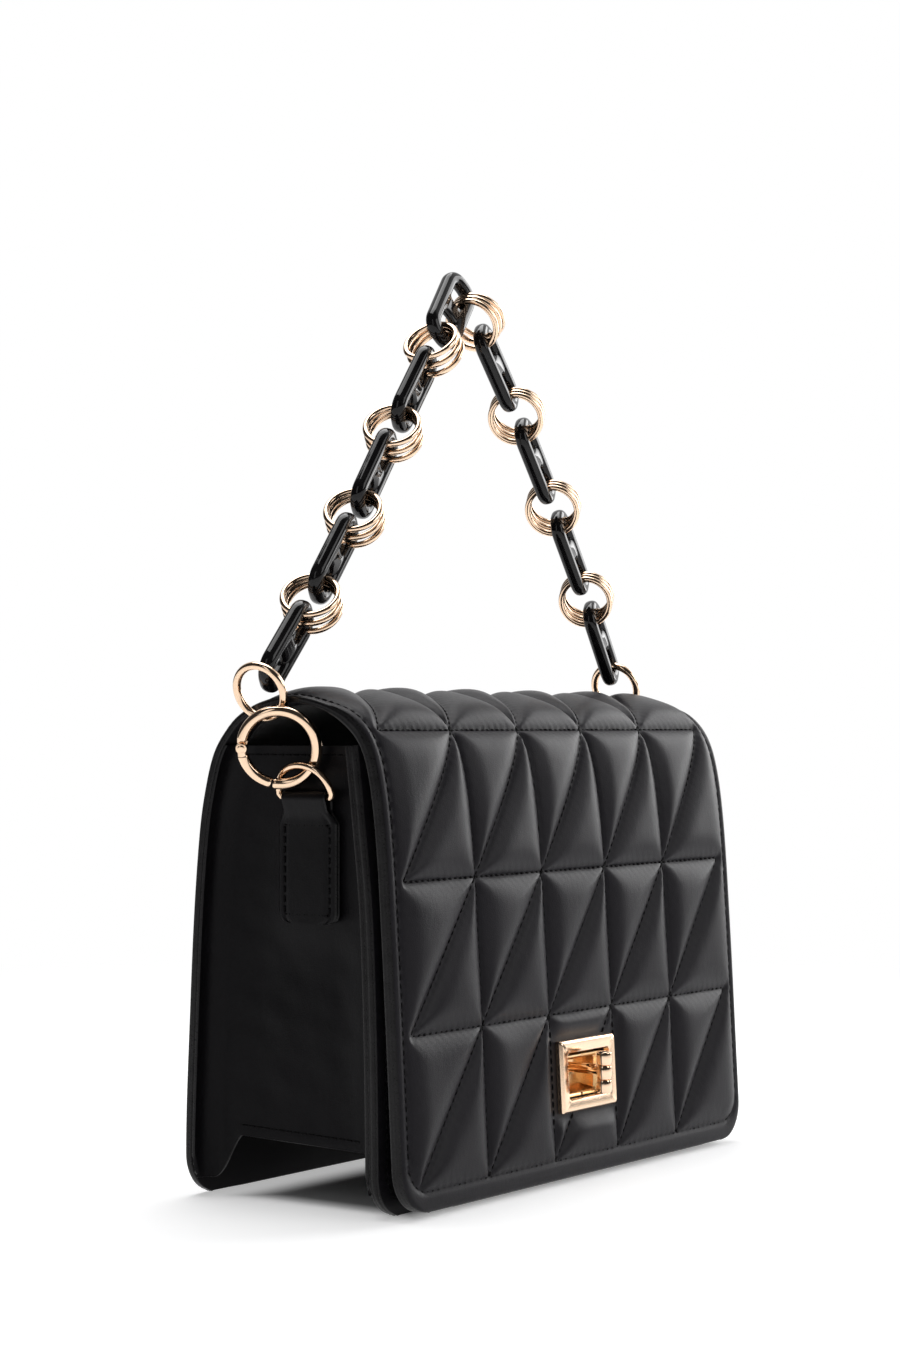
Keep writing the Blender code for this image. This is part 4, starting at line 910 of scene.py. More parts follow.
def knuckle(hinge, axes, half, radius, wire):
    """Half of the hinge: a disc with a bore and rounded edges, on one side of the ring's plane."""
    near, far, bore = 0.0001, wire * 0.97, 0.00100
    profile = [(bore, near), (radius, near), (radius, far - 0.0004), (radius - 0.00012, far - 0.00012),
               (radius - 0.0004, far), (bore, far), (bore, near)]
    return turned([(r, half * h) for r, h in profile], hinge, axes, 32)


def tongue(near, hinge, axes, half, wire):
    """The flat neck from the wire's end to the disc, a half-round section carried between them."""
    ahead = hinge - near
    length = np.linalg.norm(ahead)
    t = np.linspace(-0.15, 1 - 0.0013 / length, 8)[:, None]
    line = near + t * ahead
    side = unit(np.cross(ahead, axes[2]))
    turn = np.linspace(0, np.pi, 12)
    width = np.interp(t[:, 0], [-0.15, 1], [wire * 0.93, wire * 0.8])[:, None, None]
    arch = np.concatenate([np.cos(turn), [-0.93, 0.93]])
    rise = np.concatenate([np.sin(turn) * 0.9 * wire + 0.0001, [0.0001, 0.0001]])
    points = (line[:, None] + width * arch[None, :, None] * side
              + half * np.maximum(rise, 0.0001)[None, :, None] * axes[2])
    count = len(arch)
    faces = np.vstack([grid_faces(8, count, wrap_columns=True), strip_fill(count, 0),
                       strip_fill(count, 7 * count)])
    return points.reshape(-1, 3), faces


def build_d_rings(context):
    """The D-rings: wire along a straight bar, two tight corners and a bow; the bow's height is the sine
    of the angle to the power 0.85."""
    for side, word, lean in ((-1, "left", 20.5), (1, "right", 7.0)):
        lean = np.radians(lean)
        up = np.array([side * np.sin(lean), 0, np.cos(lean)])
        origin = np.array([side * (WEB_X + BAR_OUT), TAB_Y, BAR_Z])
        half, bow, r = 0.0110, 0.0116, 0.0022
        turn = np.radians(np.linspace(14, 166, 70))
        arch = np.column_stack([half * np.cos(turn), bow * np.sin(turn) ** 0.85])
        corner = np.radians(np.linspace(-90, -10, 14))
        right = np.column_stack([half - r + r * np.cos(corner), r + r * np.sin(corner)])
        bar = np.column_stack([np.linspace(-(half - r), half - r, 20)[1:-1], np.zeros(18)])
        loop = np.vstack([right, arch, right[::-1] * [-1, 1], bar])
        line = origin + loop[:, :1] * np.array([0, 1, 0]) + loop[:, 1:] * up
        through = np.cross([0, 1, 0], up)
        fit(word + "_d_loop", tube(line, 0.0012, 22, True, through), word + "_d", word + "_d_ring")


def build_links(context):
    """The nine acrylic links: a softly squared rail round an oval and a waisted bridge, melted together
    by a fine remesh and smoothed, so that the bridge runs into the rail with hollow fillets."""
    x, y = rounded_loop(0.0151, 0.0060, 0.0049, 14, (0.004,))
    line = resample(np.column_stack([x, y, np.zeros(len(x))]), 110)
    rail = tube(line, 0.00258, 20, True, np.array([0.0, 0.0, 1.0]), 2.5)
    reach = 0.0062
    across = np.linspace(-reach, reach, 13)
    flare = 0.0040 + 0.0032 * np.abs(across / reach) ** 2.2
    rise = 0.00165 + 0.0004 * np.abs(across / reach) ** 2
    turn = np.linspace(0, 2 * np.pi, 20, endpoint=False)
    c, s = (np.sign(f) * np.abs(f) ** 0.6 for f in (np.cos(turn), np.sin(turn)))
    level = np.repeat(across[:, None], 20, 1)
    bridge = np.stack([flare[:, None] * c, level, rise[:, None] * s], axis=-1)
    faces = np.vstack([grid_faces(13, 20, wrap_columns=True), strip_fill(20, 0), strip_fill(20, 240)])
    mesh = make_mesh("link_shape", *joined([rail, (bridge.reshape(-1, 3), faces)]))
    facing_out(mesh)
    holder = bpy.data.objects.new("link_shape", mesh)
    context.scene.collection.objects.link(holder)
    melt = holder.modifiers.new("melt", 'REMESH')
    melt.mode, melt.voxel_size = 'VOXEL', context.scene.bag_chain.melt
    calm = holder.modifiers.new("calm", 'SMOOTH')
    calm.factor, calm.iterations = 0.5, 9
    context.view_layer.update()
    graph = context.evaluated_depsgraph_get()
    melted = bpy.data.meshes.new_from_object(holder.evaluated_get(graph))
    bpy.data.objects.remove(holder)
    for k in range(1, 10):
        centre, axes = node_axes("chain_link_%d" % k)
        own = melted.copy()
        own.transform(Matrix(np.vstack([np.column_stack([axes.T, centre]), [0, 0, 0, 1]]).tolist()))
        own.name = "acrylic_link_%d" % k
        add_piece(own.name, own, [acrylic_finish()], "apex" if k == 5 else "links_%d" % min(k, 10 - k),
                  ("chain_link_%d" % k,), sharp=0)


def resample(points, count):
    """A closed line's points at even distances."""
    closed = np.vstack([points, points[:1]])
    walked = lengths_along(closed)
    even = np.linspace(0, walked[-1], count, endpoint=False)
    return np.column_stack([np.interp(even, walked, closed[:, k]) for k in range(closed.shape[1])])


# ---------------------------------------------------------------- lock

def lock_axes():
    """Middle and directions on the flap at the lock: right, into the bag and up along the flap."""
    y, z = WRAP.at(np.array([WRAP.walked(LOCK_Z + w * 0.012, 1, 0) for w in (-1, 1)]))
    up = unit(np.array([0, y[1] - y[0], z[1] - z[0]]))
    inner = np.array([0, up[2], -up[1]])
    cy, cz = WRAP.at(np.array([S_LOCK]))
    return np.array([0, cy[0], cz[0]]), np.array([1.0, 0, 0]), inner, up


def plate_rows(rows, steps, extra=()):
    """Loops from rows of (half width, half height, corner radius, depth)."""
    return [(*rounded_loop(w, h, r, steps, extra), d) for w, h, r, d in rows]


def build_lock(context):
    """The framed plate with its backing on the flap, and the collared base, knob and washer on the body:
    every one a stack of round-cornered loops, or a profile turned about its axis."""
    centre, right, inner, up = lock_axes()

    def on_flap(x, y, depth):
        return centre + x[:, None] * right + y[:, None] * up + depth * inner

    face = -0.0028
    w, h = 0.01735, 0.01245
    rows = [(w, h, 0.0010, -0.0003), (w, h, 0.0010, face + 0.0010),
            (w - 0.00012, h - 0.00012, 0.0010, face + 0.00075),
            (w - 0.0007, h - 0.0007, 0.0009, face + 0.00012), (w - 0.0009, h - 0.0009, 0.0009, face),
            (0.0138, 0.00845, 0.0014, face), (0.01352, 0.00817, 0.0013, face + 0.00010),
            (0.01335, 0.0080, 0.0012, face + 0.00035), (0.01335, 0.0080, 0.0012, -0.0003)]
    fit("lock_frame", loft(plate_rows(rows, 10), on_flap), "flap", "lock_plate", 28, "brushed_gold_plate")
    back = FLAP_THICK + 0.0006
    rows = [(0.01625, 0.0116, 0.0010, back), (0.01625, 0.0116, 0.0010, back + 0.0006),
            (0.01605, 0.0114, 0.0010, back + 0.0008), (0.0139, 0.0100, 0.0012, back + 0.0008),
            (0.0137, 0.0098, 0.0012, back + 0.0006), (0.0137, 0.0098, 0.0012, back)]
    back_plate = loft(plate_rows(rows, 10), on_flap)
    fit("lock_back_plate", back_plate, "flap", "lock_backing", 28, "brushed_gold_plate")

    low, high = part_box("lock_base")
    middle = np.array([(low[0] + high[0]) / 2, 0, (low[2] + high[2]) / 2])
    foot, top = high[1], low[1]
    plate = foot - 0.0012

    def on_body(x, y, depth):
        # A notch in the middle of the collar's level sides; the collar sits lower than its plate
        notch = 0.0007 * np.exp(-(x / 0.00022) ** 2) * (depth < top + 0.0012) * (np.abs(y) > 0.005)
        drop = 0.0009 * (depth < plate - 0.0001)
        return middle + np.column_stack([x, depth + notch, y - drop])

    rows = [(0.0150, 0.0100, 0.0012, foot), (0.0150, 0.0100, 0.0012, plate + 0.0002),
            (0.0148, 0.0098, 0.0012, plate), (0.0130, 0.0077, 0.0012, plate),
            (0.0128, 0.0075, 0.0012, plate - 0.0002),
            (0.0128, 0.0075, 0.0012, top + 0.0004), (0.01245, 0.00715, 0.0010, top),
            (0.0097, 0.0066, 0.0008, top), (0.0092, 0.0062, 0.0008, top + 0.0003),
            (0.00895, 0.00585, 0.0006, top + 0.0009), (0.00875, 0.00565, 0.0006, top + 0.0012),
            (0.00875, 0.00565, 0.0006, plate)]
    loops = plate_rows(rows, 8, (0.0003, 0.0006))
    bore_z = STEM_Z - middle[2]
    x, y = loops[0][:2]
    turn = np.arctan2(y, x)
    for r, d in ((0.0027, plate), (0.0023, plate + 0.0002), (0.0023, foot)):
        loops.append((r * np.cos(turn), r * np.sin(turn) + bore_z, d))
    # The collar's plating is darkened and warmed as painted shade of its recess
    fit("lock_collar", loft(loops, on_body), "bag", "lock_base", 28, "gold_collar_painted_recess_shade")

    low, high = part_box("turn_knob")
    knob_y, back_y = low[1] + 0.0027, high[1]
    length = 0.0148
    z = np.linspace(-0.5, 0.5, 73)
    lobe = np.abs(np.sin(np.pi * (z + 0.5) * 3)) ** 0.22
    radius = 0.00205 + 0.00070 * lobe
    end = np.clip((0.5 - np.abs(z)) / 0.035, 0, 1)
    radius = radius * np.sqrt(1 - (1 - end) ** 2) + 1e-6
    stand = np.eye(3)
    knob = turned(list(zip(radius, z * length)), np.array([0, knob_y, STEM_Z - 0.0008]), stand, 36)
    lie = stand[[0, 2, 1]]
    head, end = back_y - 0.0007 - knob_y, back_y - knob_y
    stem = [(1e-6, 0.0), (0.0018, 0.0001), (0.0018, head), (0.0034, head), (0.0034, end), (1e-6, end)]
    stem = turned(stem, np.array([0, knob_y, STEM_Z]), lie, 32)
    fit("lock_knob", joined([knob, stem]), "knob", "turn_knob", 45, "gold_plating")
    low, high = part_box("lock_washer")
    near, far = low[1], high[1]
    disc = [(1e-6, far - 0.0002), (0.0060, far), (0.0068, far - 0.00015), (0.0070, far - 0.0004),
            (0.0070, near), (1e-6, near)]
    washer = turned(disc, np.array([0, 0, STEM_Z]), lie, 48)
    fit("washer_disc", washer, "bag", "lock_washer", 28, "brushed_gold_plate")


# ---------------------------------------------------------------- finishes

class Nodes:
    """Short words for building the node tree of a material or a world."""

    def __init__(self, owner):
        owner.use_nodes = True
        self.owner = owner
        self.tree = owner.node_tree
        self.shader = self.tree.nodes.get("Principled BSDF")

    def node(self, kind, inputs=(), **settings):
        made = self.tree.nodes.new(kind)
        for key, value in settings.items():
            setattr(made, key, value)
        for key, value in dict(inputs).items():
            self.feed(made.inputs[key], value)
        return made

    def feed(self, socket, value):
        if isinstance(value, bpy.types.NodeSocket):
            self.tree.links.new(value, socket)
        else:
            socket.default_value = value

    def math(self, operation, a, b=0.0):
        made = self.node("ShaderNodeMath", operation=operation)
        for socket, value in zip(made.inputs, (a, b, 0.0)):
            self.feed(socket, value)
        return made.outputs[0]

    def sum(self, a, a_share, b, b_share):
        """Two values added, each times its share."""
        return self.math("ADD", self.math("MULTIPLY", a, a_share), self.math("MULTIPLY", b, b_share))

    def place(self, source="Object"):
        return self.node("ShaderNodeTexCoord").outputs[source]

    def stretched(self, where, scale):
        return self.node("ShaderNodeMapping", {"Vector": where, "Scale": scale}).outputs[0]

    def noise(self, where, scale, detail=2.0, roughness=0.5):
        inputs = {"Vector": where, "Scale": scale, "Detail": detail, "Roughness": roughness}
        return self.node("ShaderNodeTexNoise", inputs).outputs["Fac"]

    def wave(self, where, scale, direction, distortion, detail=2.0):
        inputs = {"Vector": where, "Scale": scale, "Distortion": distortion, "Detail": detail}
        return self.node("ShaderNodeTexWave", inputs, bands_direction=direction).outputs["Fac"]

    def cells(self, where, scale):
        inputs = {"Vector": where, "Scale": scale}
        return self.node("ShaderNodeTexVoronoi", inputs, feature="DISTANCE_TO_EDGE").outputs["Distance"]

    def ramp(self, value, low, high, a=0.0, b=1.0, kind="LINEAR"):
        inputs = {"Value": value, "From Min": low, "From Max": high, "To Min": a, "To Max": b}
        return self.node("ShaderNodeMapRange", inputs, interpolation_type=kind).outputs[0]

    def mix(self, share, a, b):
        inputs = {0: share, 6: (*a, 1), 7: (*b, 1)}
        return self.node("ShaderNodeMix", inputs, data_type="RGBA").outputs[2]

    def bump(self, height, strength, distance, **normal):
        inputs = {"Height": height, "Strength": strength, "Distance": distance, **normal}
        return self.node("ShaderNodeBump", inputs).outputs[0]

    def shaders(self, kind, first, a, b, inputs=()):
        """A node that takes two shaders, in the sockets from number first on."""
        return self.node(kind, {**dict(inputs), first: a.outputs[0], first + 1: b.outputs[0]})

    def surface(self, colour, roughness, normal, metallic=0.0, level=0.5, sheen=0.0):
        for key, value in (("Base Color", colour), ("Roughness", roughness), ("Normal", normal),
                           ("Metallic", metallic), ("Specular IOR Level", level), ("Sheen Weight", sheen)):
            self.feed(self.shader.inputs[key], value)
        return self.owner


# Each leather: its dark and its pale tone as shares of the set colour, lowest and highest roughness,
# grain cells in a metre, depth of the grain, strength of the crinkles, and specular level
LEATHERS = {
    "soft_leather": (0.88, 1.14, 0.32, 0.42, 1500.0, 0.30, 0.16, 0.115),
    # The gusset and tab leathers are the flap's leather made darker: painted shade of the sides that face
    # away from the lamps
    "gusset_leather_painted_shade": (0.30, 0.48, 0.30, 0.40, 1300.0, 0.28, 0.30, 0.10),
    "tab_leather_painted_shade": (0.25, 0.42, 0.33, 0.45, 1300.0, 0.28, 0.35, 0.13),
    "flap_lining_leather": (0.6, 0.8, 0.55, 0.68, 1700.0, 0.22, 0.15, 0.16),
}
# Each plating: its bright and its deep tone as shares of the set colour's red, green and blue, lowest and
# highest roughness, and strength of the scratches
PLATINGS = {
    "gold_plating": ((1.0, 1.0, 1.0), (0.93, 0.93, 0.93), 0.09, 0.14, 0.0),
    "brushed_gold_plate": ((1.0, 1.0, 1.0), (0.96, 0.96, 0.96), 0.14, 0.22, 0.14),
    # The collar's tones are darker and more orange than the plate's: painted shade and painted bounce light
    # of the recess it sits in
    "gold_collar_painted_recess_shade": ((0.95, 0.86, 0.66), (0.86, 0.72, 0.46), 0.18, 0.27, 0.12),
}


def new_finish(name):
    """An empty material's nodes."""
    return Nodes(bpy.data.materials.new(name))


@cache
def leather(name):
    """Leather: fine pebbled grain from cells, broad unevenness of tone and gloss, soft crinkles."""
    dark, pale, low, high, grain, depth, crinkle, level = LEATHERS[name]
    tone = bpy.context.scene.bag_leather.colour
    n = new_finish(name)
    where = n.place()
    broad = n.noise(where, 28.0, 3.0)
    fine = n.noise(where, 900.0, 3.0, 0.6)
    pebbles = n.ramp(n.cells(where, grain), 0.0, 0.25)
    folds = n.noise(n.stretched(where, (1.0, 1.0, 0.35)), 150.0, 5.0, 0.62)
    colour = n.mix(n.ramp(n.sum(broad, 0.7, fine, 0.3), 0.35, 0.65),
                   [v * dark for v in tone], [v * pale for v in tone])
    roughness = n.ramp(n.sum(broad, 0.6, fine, 0.4), 0.35, 0.65, low, high)
    grained = n.bump(n.sum(pebbles, 0.55, fine, 0.45), depth, 0.00012)
    return n.surface(colour, roughness, n.bump(folds, crinkle, 0.0006, Normal=grained), level=level)


@cache
def edge_paint():
    """Brushed edge paint: glossier than the leather, with slow waves left by the brush and tiny pits."""
    n = new_finish("edge_paint")
    where = n.place()
    waves = n.noise(where, 160.0)
    pits = n.noise(where, 1500.0)
    colour = n.mix(n.ramp(waves, 0.3, 0.7), (0.006, 0.0055, 0.006), (0.011, 0.0105, 0.0115))
    normal = n.bump(n.math("ADD", waves, n.math("MULTIPLY", pits, 0.15)), 0.35, 0.0004)
    return n.surface(colour, n.ramp(pits, 0.35, 0.65, 0.26, 0.36), normal, level=0.20)


@cache
def thread_with_painted_shade():
    """Twisted thread: fine slanting ridges in tone, gloss and bump. It is black, and darkened well below
    the leather as painted shade of the seams.
    """
    n = new_finish("stitching_thread_painted_shade")
    plies = n.wave(n.place(), 900.0, "DIAGONAL", 1.5, 1.0)
    # Black thread, darkened further as painted shade in the seam grooves
    colour = n.mix(plies, (0.0025, 0.0024, 0.0026), (0.0055, 0.0052, 0.0058))
    return n.surface(colour, n.ramp(plies, 0.0, 1.0, 0.5, 0.65), n.bump(plies, 0.4, 0.0001), level=0.08)


@cache
def lining_cloth():
    """Plain weave from two crossed waves on the sheet's own places, with uneven yarns."""
    n = new_finish("lining_weave")
    where = n.place("UV")
    weave = n.math("MULTIPLY", n.wave(where, 520.0, "X", 0.3), n.wave(where, 520.0, "Y", 0.3))
    yarn = n.noise(where, 260.0, 3.0)
    colour = n.mix(n.math("MULTIPLY", weave, yarn), (0.010, 0.010, 0.011), (0.040, 0.039, 0.041))
    return n.surface(colour, n.ramp(yarn, 0.3, 0.7, 0.70, 0.88), n.bump(weave, 0.5, 0.00025), sheen=0.15)


@cache
def plating(name):
    """Plated metal: a warm tone that varies a little, fine marks in the gloss and, where set, the bump."""
    bright, deep, low, high, scratch = PLATINGS[name]
    tone = bpy.context.scene.bag_metal.colour
    n = new_finish(name)
    where = n.place()
    broad = n.noise(where, 60.0)
    marks = n.noise(n.stretched(where, (1.0, 7.0, 3.0)), 700.0, 3.0)
    colour = n.mix(n.ramp(broad, 0.3, 0.7), [v * k for v, k in zip(tone, bright)],
                   [v * k for v, k in zip(tone, deep)])
    roughness = n.ramp(n.sum(broad, 0.5, marks, 0.5), 0.35, 0.65, low, high)
    return n.surface(colour, roughness, n.bump(marks, scratch, 0.00004), metallic=1.0)


@cache
def acrylic_finish():
    """Cast acrylic: deep black, high gloss, with faint moulding waves and a few fine rubs."""
    n = new_finish("black_acrylic_gloss")
    where = n.place()
    waves = n.noise(where, 170.0, 1.0)
    rubs = n.noise(where, 1100.0, 3.0)
    colour = n.mix(n.ramp(waves, 0.3, 0.7), (0.0045, 0.0040, 0.0045), (0.009, 0.0085, 0.009))
    normal = n.bump(n.math("ADD", waves, n.math("MULTIPLY", rubs, 0.03)), 0.06, 0.0005)
    return n.surface(colour, n.ramp(rubs, 0.35, 0.7, 0.04, 0.09), normal, level=0.30)


# ---------------------------------------------------------------- studio

WHITE = (1, 1, 1, 1)
FLOOR_Z = -0.0001
# The floor's glow ends over this span beside the bag, leaving a painted shadow over the bag's footprint,
# and turns to plain white over this span far out
SHADE = (-0.016, 0.003)
FAR = (0.30, 0.85)
CAMERA_PLACE = (-0.78991, -0.54895, 0.15777)
CAMERA_YAW, CAMERA_PITCH, CAMERA_LENS = 0.948018, 0.019019, 71.468


def paper_floor():
    """White paper: lit plainly near the bag, with a glow that only the camera and mirrors see. The glow
    is cut out in a box round the bag's footprint: a painted shadow on top of the shade that the lamps cast
    there."""
    n = new_finish("studio_floor_paper")
    for key, value in (("Base Color", (0.86, 0.86, 0.865, 1)), ("Roughness", 0.7),
                       ("Specular IOR Level", 0.15)):
        n.feed(n.shader.inputs[key], value)
    where = n.place()
    far = n.node("ShaderNodeVectorMath", {0: where}, operation="LENGTH").outputs["Value"]
    far = n.ramp(far, *FAR, kind="SMOOTHSTEP")
    path = n.node("ShaderNodeLightPath").outputs
    seen = n.math("MAXIMUM", path["Is Camera Ray"], path["Is Glossy Ray"])
    seen = n.math("MAXIMUM", seen, path["Is Transmission Ray"])
    reach = n.node("ShaderNodeSeparateXYZ", {0: where}).outputs
    # A box round the bag's footprint where the glow is cut away: the painted shadow under the bag
    beside = n.math("SUBTRACT", n.math("ABSOLUTE", reach[0]), 0.100)
    behind = n.math("SUBTRACT", n.math("ABSOLUTE", reach[1]), 0.040)
    most = bpy.context.scene.bag_studio.floor_glow
    strength = n.ramp(n.math("MAXIMUM", beside, behind), *SHADE, 0.0, most, kind="SMOOTHSTEP")
    glow = n.node("ShaderNodeEmission", {"Color": WHITE, "Strength": strength})
    white = n.node("ShaderNodeEmission", {"Color": WHITE, "Strength": 1.0})
    near = n.shaders("ShaderNodeAddShader", 0, n.shader, glow)
    shown = n.shaders("ShaderNodeMixShader", 1, near, white, {0: far})
    last = n.shaders("ShaderNodeMixShader", 1, n.shader, shown, {0: seen})
    n.feed(n.tree.nodes["Material Output"].inputs[0], last.outputs[0])
    return n.owner


def studio_world():
    """White to the camera, even soft light to the rest. Mirrored rays see a white room that falls off to
    dark cards on the left, so that metal has contrast."""
    world = bpy.data.worlds.new("studio_world")
    n = Nodes(world)
    path = n.node("ShaderNodeLightPath").outputs
    seen = n.math("MAXIMUM", path["Is Camera Ray"], path["Is Transmission Ray"])
    side = n.node("ShaderNodeVectorMath", {0: n.place("Generated"), 1: (0.80, 0.22, 0.55)},
                  operation="DOT_PRODUCT").outputs["Value"]
    room = n.ramp(side, 0.34, 0.95, 0.03, 1.0, kind="SMOOTHSTEP")
    even = bpy.context.scene.bag_studio.world
    level = n.node("ShaderNodeMix", {0: path["Is Glossy Ray"], 2: even, 3: room})
    back = n.tree.nodes["Background"]
    n.feed(back.inputs["Color"], WHITE)
    n.feed(back.inputs["Strength"], n.math("MAXIMUM", seen, level.outputs[0]))
    return world


def aimed(name, data, place, direction):
    """Puts a lamp or a camera in the scene at a place, looking along a direction."""
    thing = bpy.data.objects.new(name, data)
    bpy.context.scene.collection.objects.link(thing)
    thing.location = place
    thing.rotation_euler = direction.to_track_quat('-Z', 'Y').to_euler()
    return thing


def build_studio(context):
    """Pale floor that glows white to the camera but keeps the bag's shadow, soft lamps, and the camera."""
    props = context.scene.bag_studio
    turn = np.linspace(0, 2 * np.pi, 64, endpoint=False)
    rings = np.array([0.02, 0.5, 1.5, 6.0])[:, None]
    points = np.stack([rings * np.cos(turn), rings * np.sin(turn), np.full((4, 64), FLOOR_Z)], -1)
    faces = np.vstack([grid_faces(4, 64, wrap_columns=True), strip_fill(64, 0)[:, ::-1]])
    mesh = make_mesh("studio_floor", points, faces)
    mesh.materials.append(paper_floor())
    floor = bpy.data.objects.new("studio_floor", mesh)
    context.scene.collection.objects.link(floor)
    context.scene.world = studio_world()

    for name, place, aim, size, power in (
            ("overhead_softbox", (0.10, 0.25, 1.30), (0, 0, 0.08), (1.1, 0.8), props.overhead),
            ("front_softbox", (0.30, -1.40, 0.80), (0, 0, 0.09), (0.9, 0.9), props.front),
            ("right_softbox", (1.40, -0.40, 0.60), (0, 0, 0.09), (1.0, 1.0), props.right),
            ("side_strip", (-1.30, -0.10, 0.65), (0, 0, 0.10), (0.3, 0.8), props.side)):
        lamp = bpy.data.lights.new(name, 'AREA')
        lamp.shape, lamp.energy = 'RECTANGLE', power
        lamp.size, lamp.size_y = size
        aimed(name, lamp, place, Vector(aim) - Vector(place))

    lens = bpy.data.cameras.new("photo_camera")
    lens.lens, lens.sensor_width, lens.sensor_fit = CAMERA_LENS, 36.0, 'AUTO'
    level = math.cos(CAMERA_PITCH)
    look = Vector((math.sin(CAMERA_YAW) * level, math.cos(CAMERA_YAW) * level, math.sin(CAMERA_PITCH)))
    context.scene.camera = aimed("photo_camera", lens, CAMERA_PLACE, look)
    context.scene.view_settings.view_transform = 'Standard'


# ---------------------------------------------------------------- settings

def length(name, description, default, low, high):
    """A setting that is a length in metres."""
    return bpy.props.FloatProperty(name=name, description=description, default=default, min=low, max=high,
                                   subtype='DISTANCE', unit='LENGTH', precision=5)


def tone(description, default):
    """A setting that is a colour."""
    return bpy.props.FloatVectorProperty(name="Colour", description=description, default=default, size=3,
                                         min=0, max=1, subtype='COLOR')


def power(name, description, default):
    """A setting that is a lamp's power in watts."""
    return bpy.props.FloatProperty(name=name, description=description, default=default, min=0, unit='POWER')


class BagLeather(bpy.types.PropertyGroup):
    """Leather and thread"""
    colour: tone("Tone of the leather", (0.0155, 0.0143, 0.0172))
    puff: length("Puff", "Height of the pillows over their seams", 0.0030, 0.0, 0.006)
    stitch_pitch: length("Stitch pitch", "Distance from one stitch to the next", 0.0030, 0.0015, 0.01)
    thread: length("Thread", "Thickness of the sewing thread", 0.00075, 0.0002, 0.002)


class BagMetal(bpy.types.PropertyGroup):
    """Plated fittings"""
    colour: tone("Tone of the plating", (0.93, 0.685, 0.49))
    ring_fan: bpy.props.FloatProperty(
        name="Ring fan", description="Angle in degrees by which neighbouring jump rings fan out",
        default=7.0, min=0.0, max=15.0)


class BagChain(bpy.types.PropertyGroup):
    """Acrylic links"""
    melt: length(
        "Melt", "Cell of the remesh that melts a link's bridge into its rail", 0.00042, 0.0002, 0.001)


class BagStudio(bpy.types.PropertyGroup):
    """Lamps, world and floor"""
    overhead: power("Overhead", "Power of the overhead softbox", 12.0)
    front: power("Front", "Power of the front softbox", 6.0)
    right: power("Right", "Power of the right softbox", 13.0)
    side: power("Side", "Power of the side strip", 0.8)
    world: bpy.props.FloatProperty(
        name="World", description="Strength of the even light from all round", default=0.16, min=0)
    floor_glow: bpy.props.FloatProperty(
        name="Floor glow", description="White that the floor adds for the camera", default=0.42, min=0)


# ---------------------------------------------------------------- operators

def across_the_fold(piece):
    """Bakes the piece's place into its points."""
    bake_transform(piece)


class OBJECT_OT_bag_wrap(bpy.types.Operator):
    """Quilted flap, roof and back in one padded panel"""
    bl_idname = "object.bag_wrap"
    bl_label = "Quilted wrap"

    def execute(self, context):
        across_the_fold(build_wrap(context))
        return {'FINISHED'}


class OBJECT_OT_bag_wrap_stitches(bpy.types.Operator):
    """Threads of the quilting and of the back"""
    bl_idname = "object.bag_wrap_stitches"
    bl_label = "Quilting stitches"

    def execute(self, context):
        across_the_fold(build_quilt_stitches(context))
        build_back_stitches(context)
        return {'FINISHED'}


class OBJECT_OT_bag_front(bpy.types.Operator):
    """Front body panel with its seam"""
    bl_idname = "object.bag_front"
    bl_label = "Front panel"

    def execute(self, context):
        build_front_panel(context)
        build_front_stitches(context)
        return {'FINISHED'}


class OBJECT_OT_bag_gussets(bpy.types.Operator):
    """Side gussets with their seams"""
    bl_idname = "object.bag_gussets"
    bl_label = "Gussets"

    def execute(self, context):
        build_gussets(context)
        return {'FINISHED'}


class OBJECT_OT_bag_base(bpy.types.Operator):
    """Recessed base panel"""
    bl_idname = "object.bag_base"
    bl_label = "Base"

    def execute(self, context):
        build_base(context)
        return {'FINISHED'}


class OBJECT_OT_bag_tabs(bpy.types.Operator):
    """Stitched side tabs"""
    bl_idname = "object.bag_tabs"
    bl_label = "Side tabs"

    def execute(self, context):
        build_tabs(context)
        return {'FINISHED'}


class OBJECT_OT_bag_linings(bpy.types.Operator):
    """Woven linings and the slip pocket"""
    bl_idname = "object.bag_linings"
    bl_label = "Linings"

    def execute(self, context):
        build_linings(context)
        return {'FINISHED'}


class OBJECT_OT_bag_side_rings(bpy.types.Operator):
    """D-rings and spring-gate rings with their gates and rivets"""
    bl_idname = "object.bag_side_rings"
    bl_label = "D-rings and gate rings"

    def execute(self, context):
        build_d_rings(context)
        build_gate_rings(context)
        return {'FINISHED'}


class OBJECT_OT_bag_chain_rings(bpy.types.Operator):
    """Jump rings in threes and the end rings"""
    bl_idname = "object.bag_chain_rings"
    bl_label = "Chain rings"

    def execute(self, context):
        build_jump_rings(context)
        return {'FINISHED'}


class OBJECT_OT_bag_links(bpy.types.Operator):
    """Acrylic chain links"""
    bl_idname = "object.bag_links"
    bl_label = "Chain links"

    def execute(self, context):
        build_links(context)
        return {'FINISHED'}


class OBJECT_OT_bag_lock(bpy.types.Operator):
    """Turn lock"""
    bl_idname = "object.bag_lock"
    bl_label = "Turn lock"

    def execute(self, context):
        build_lock(context)
        return {'FINISHED'}


class OBJECT_OT_bag_studio(bpy.types.Operator):
    """Floor, lamps, world and camera"""
    bl_idname = "object.bag_studio"
    bl_label = "Studio"

    def execute(self, context):
        build_studio(context)
        return {'FINISHED'}


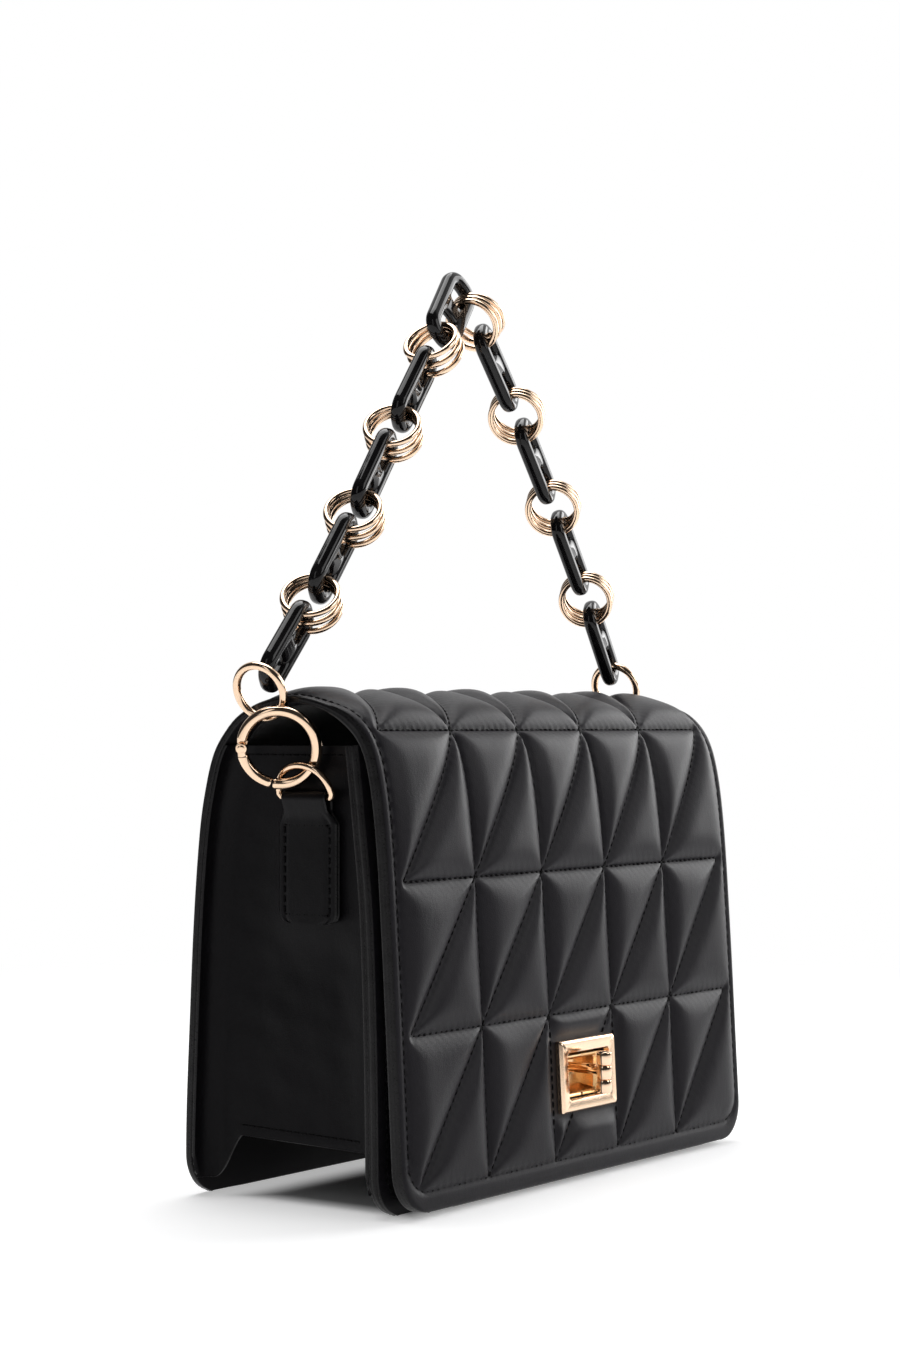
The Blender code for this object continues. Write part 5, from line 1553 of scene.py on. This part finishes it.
STEPS = (OBJECT_OT_bag_wrap, OBJECT_OT_bag_wrap_stitches, OBJECT_OT_bag_front, OBJECT_OT_bag_gussets,
         OBJECT_OT_bag_base, OBJECT_OT_bag_tabs, OBJECT_OT_bag_linings, OBJECT_OT_bag_side_rings,
         OBJECT_OT_bag_chain_rings, OBJECT_OT_bag_links, OBJECT_OT_bag_lock, OBJECT_OT_bag_studio)
GROUPS = (("bag_leather", BagLeather), ("bag_metal", BagMetal), ("bag_chain", BagChain),
          ("bag_studio", BagStudio))


class VIEW3D_PT_quilted_bag(bpy.types.Panel):
    """Lists the bag's settings and the steps that make it"""
    bl_idname = "VIEW3D_PT_quilted_bag"
    bl_label = "Quilted bag"
    bl_space_type = 'VIEW_3D'
    bl_region_type = 'UI'
    bl_category = "Quilted bag"

    def draw(self, context):
        for name, group in GROUPS:
            box = self.layout.box()
            for prop in group.__annotations__:
                box.prop(getattr(context.scene, name), prop)
        for step in STEPS:
            self.layout.operator(step.bl_idname)


def register():
    """Makes the settings, steps and panel known to Blender."""
    for _, group in GROUPS:
        bpy.utils.register_class(group)
    for name, group in GROUPS:
        setattr(bpy.types.Scene, name, bpy.props.PointerProperty(type=group))
    for step in STEPS + (VIEW3D_PT_quilted_bag,):
        bpy.utils.register_class(step)


def unregister():
    """Takes all of it away again, in the opposite order."""
    for step in reversed(STEPS + (VIEW3D_PT_quilted_bag,)):
        bpy.utils.unregister_class(step)
    for name, group in reversed(GROUPS):
        delattr(bpy.types.Scene, name)
        bpy.utils.unregister_class(group)


def main():
    """Makes the bag and its studio step by step."""
    register()
    bpy.ops.object.bag_wrap()
    bpy.ops.object.bag_wrap_stitches()
    bpy.ops.object.bag_front()
    bpy.ops.object.bag_gussets()
    bpy.ops.object.bag_base()
    bpy.ops.object.bag_tabs()
    bpy.ops.object.bag_linings()
    bpy.ops.object.bag_side_rings()
    bpy.ops.object.bag_chain_rings()
    bpy.ops.object.bag_links()
    bpy.ops.object.bag_lock()
    bpy.ops.object.bag_studio()


if __name__ == "__main__":
    main()
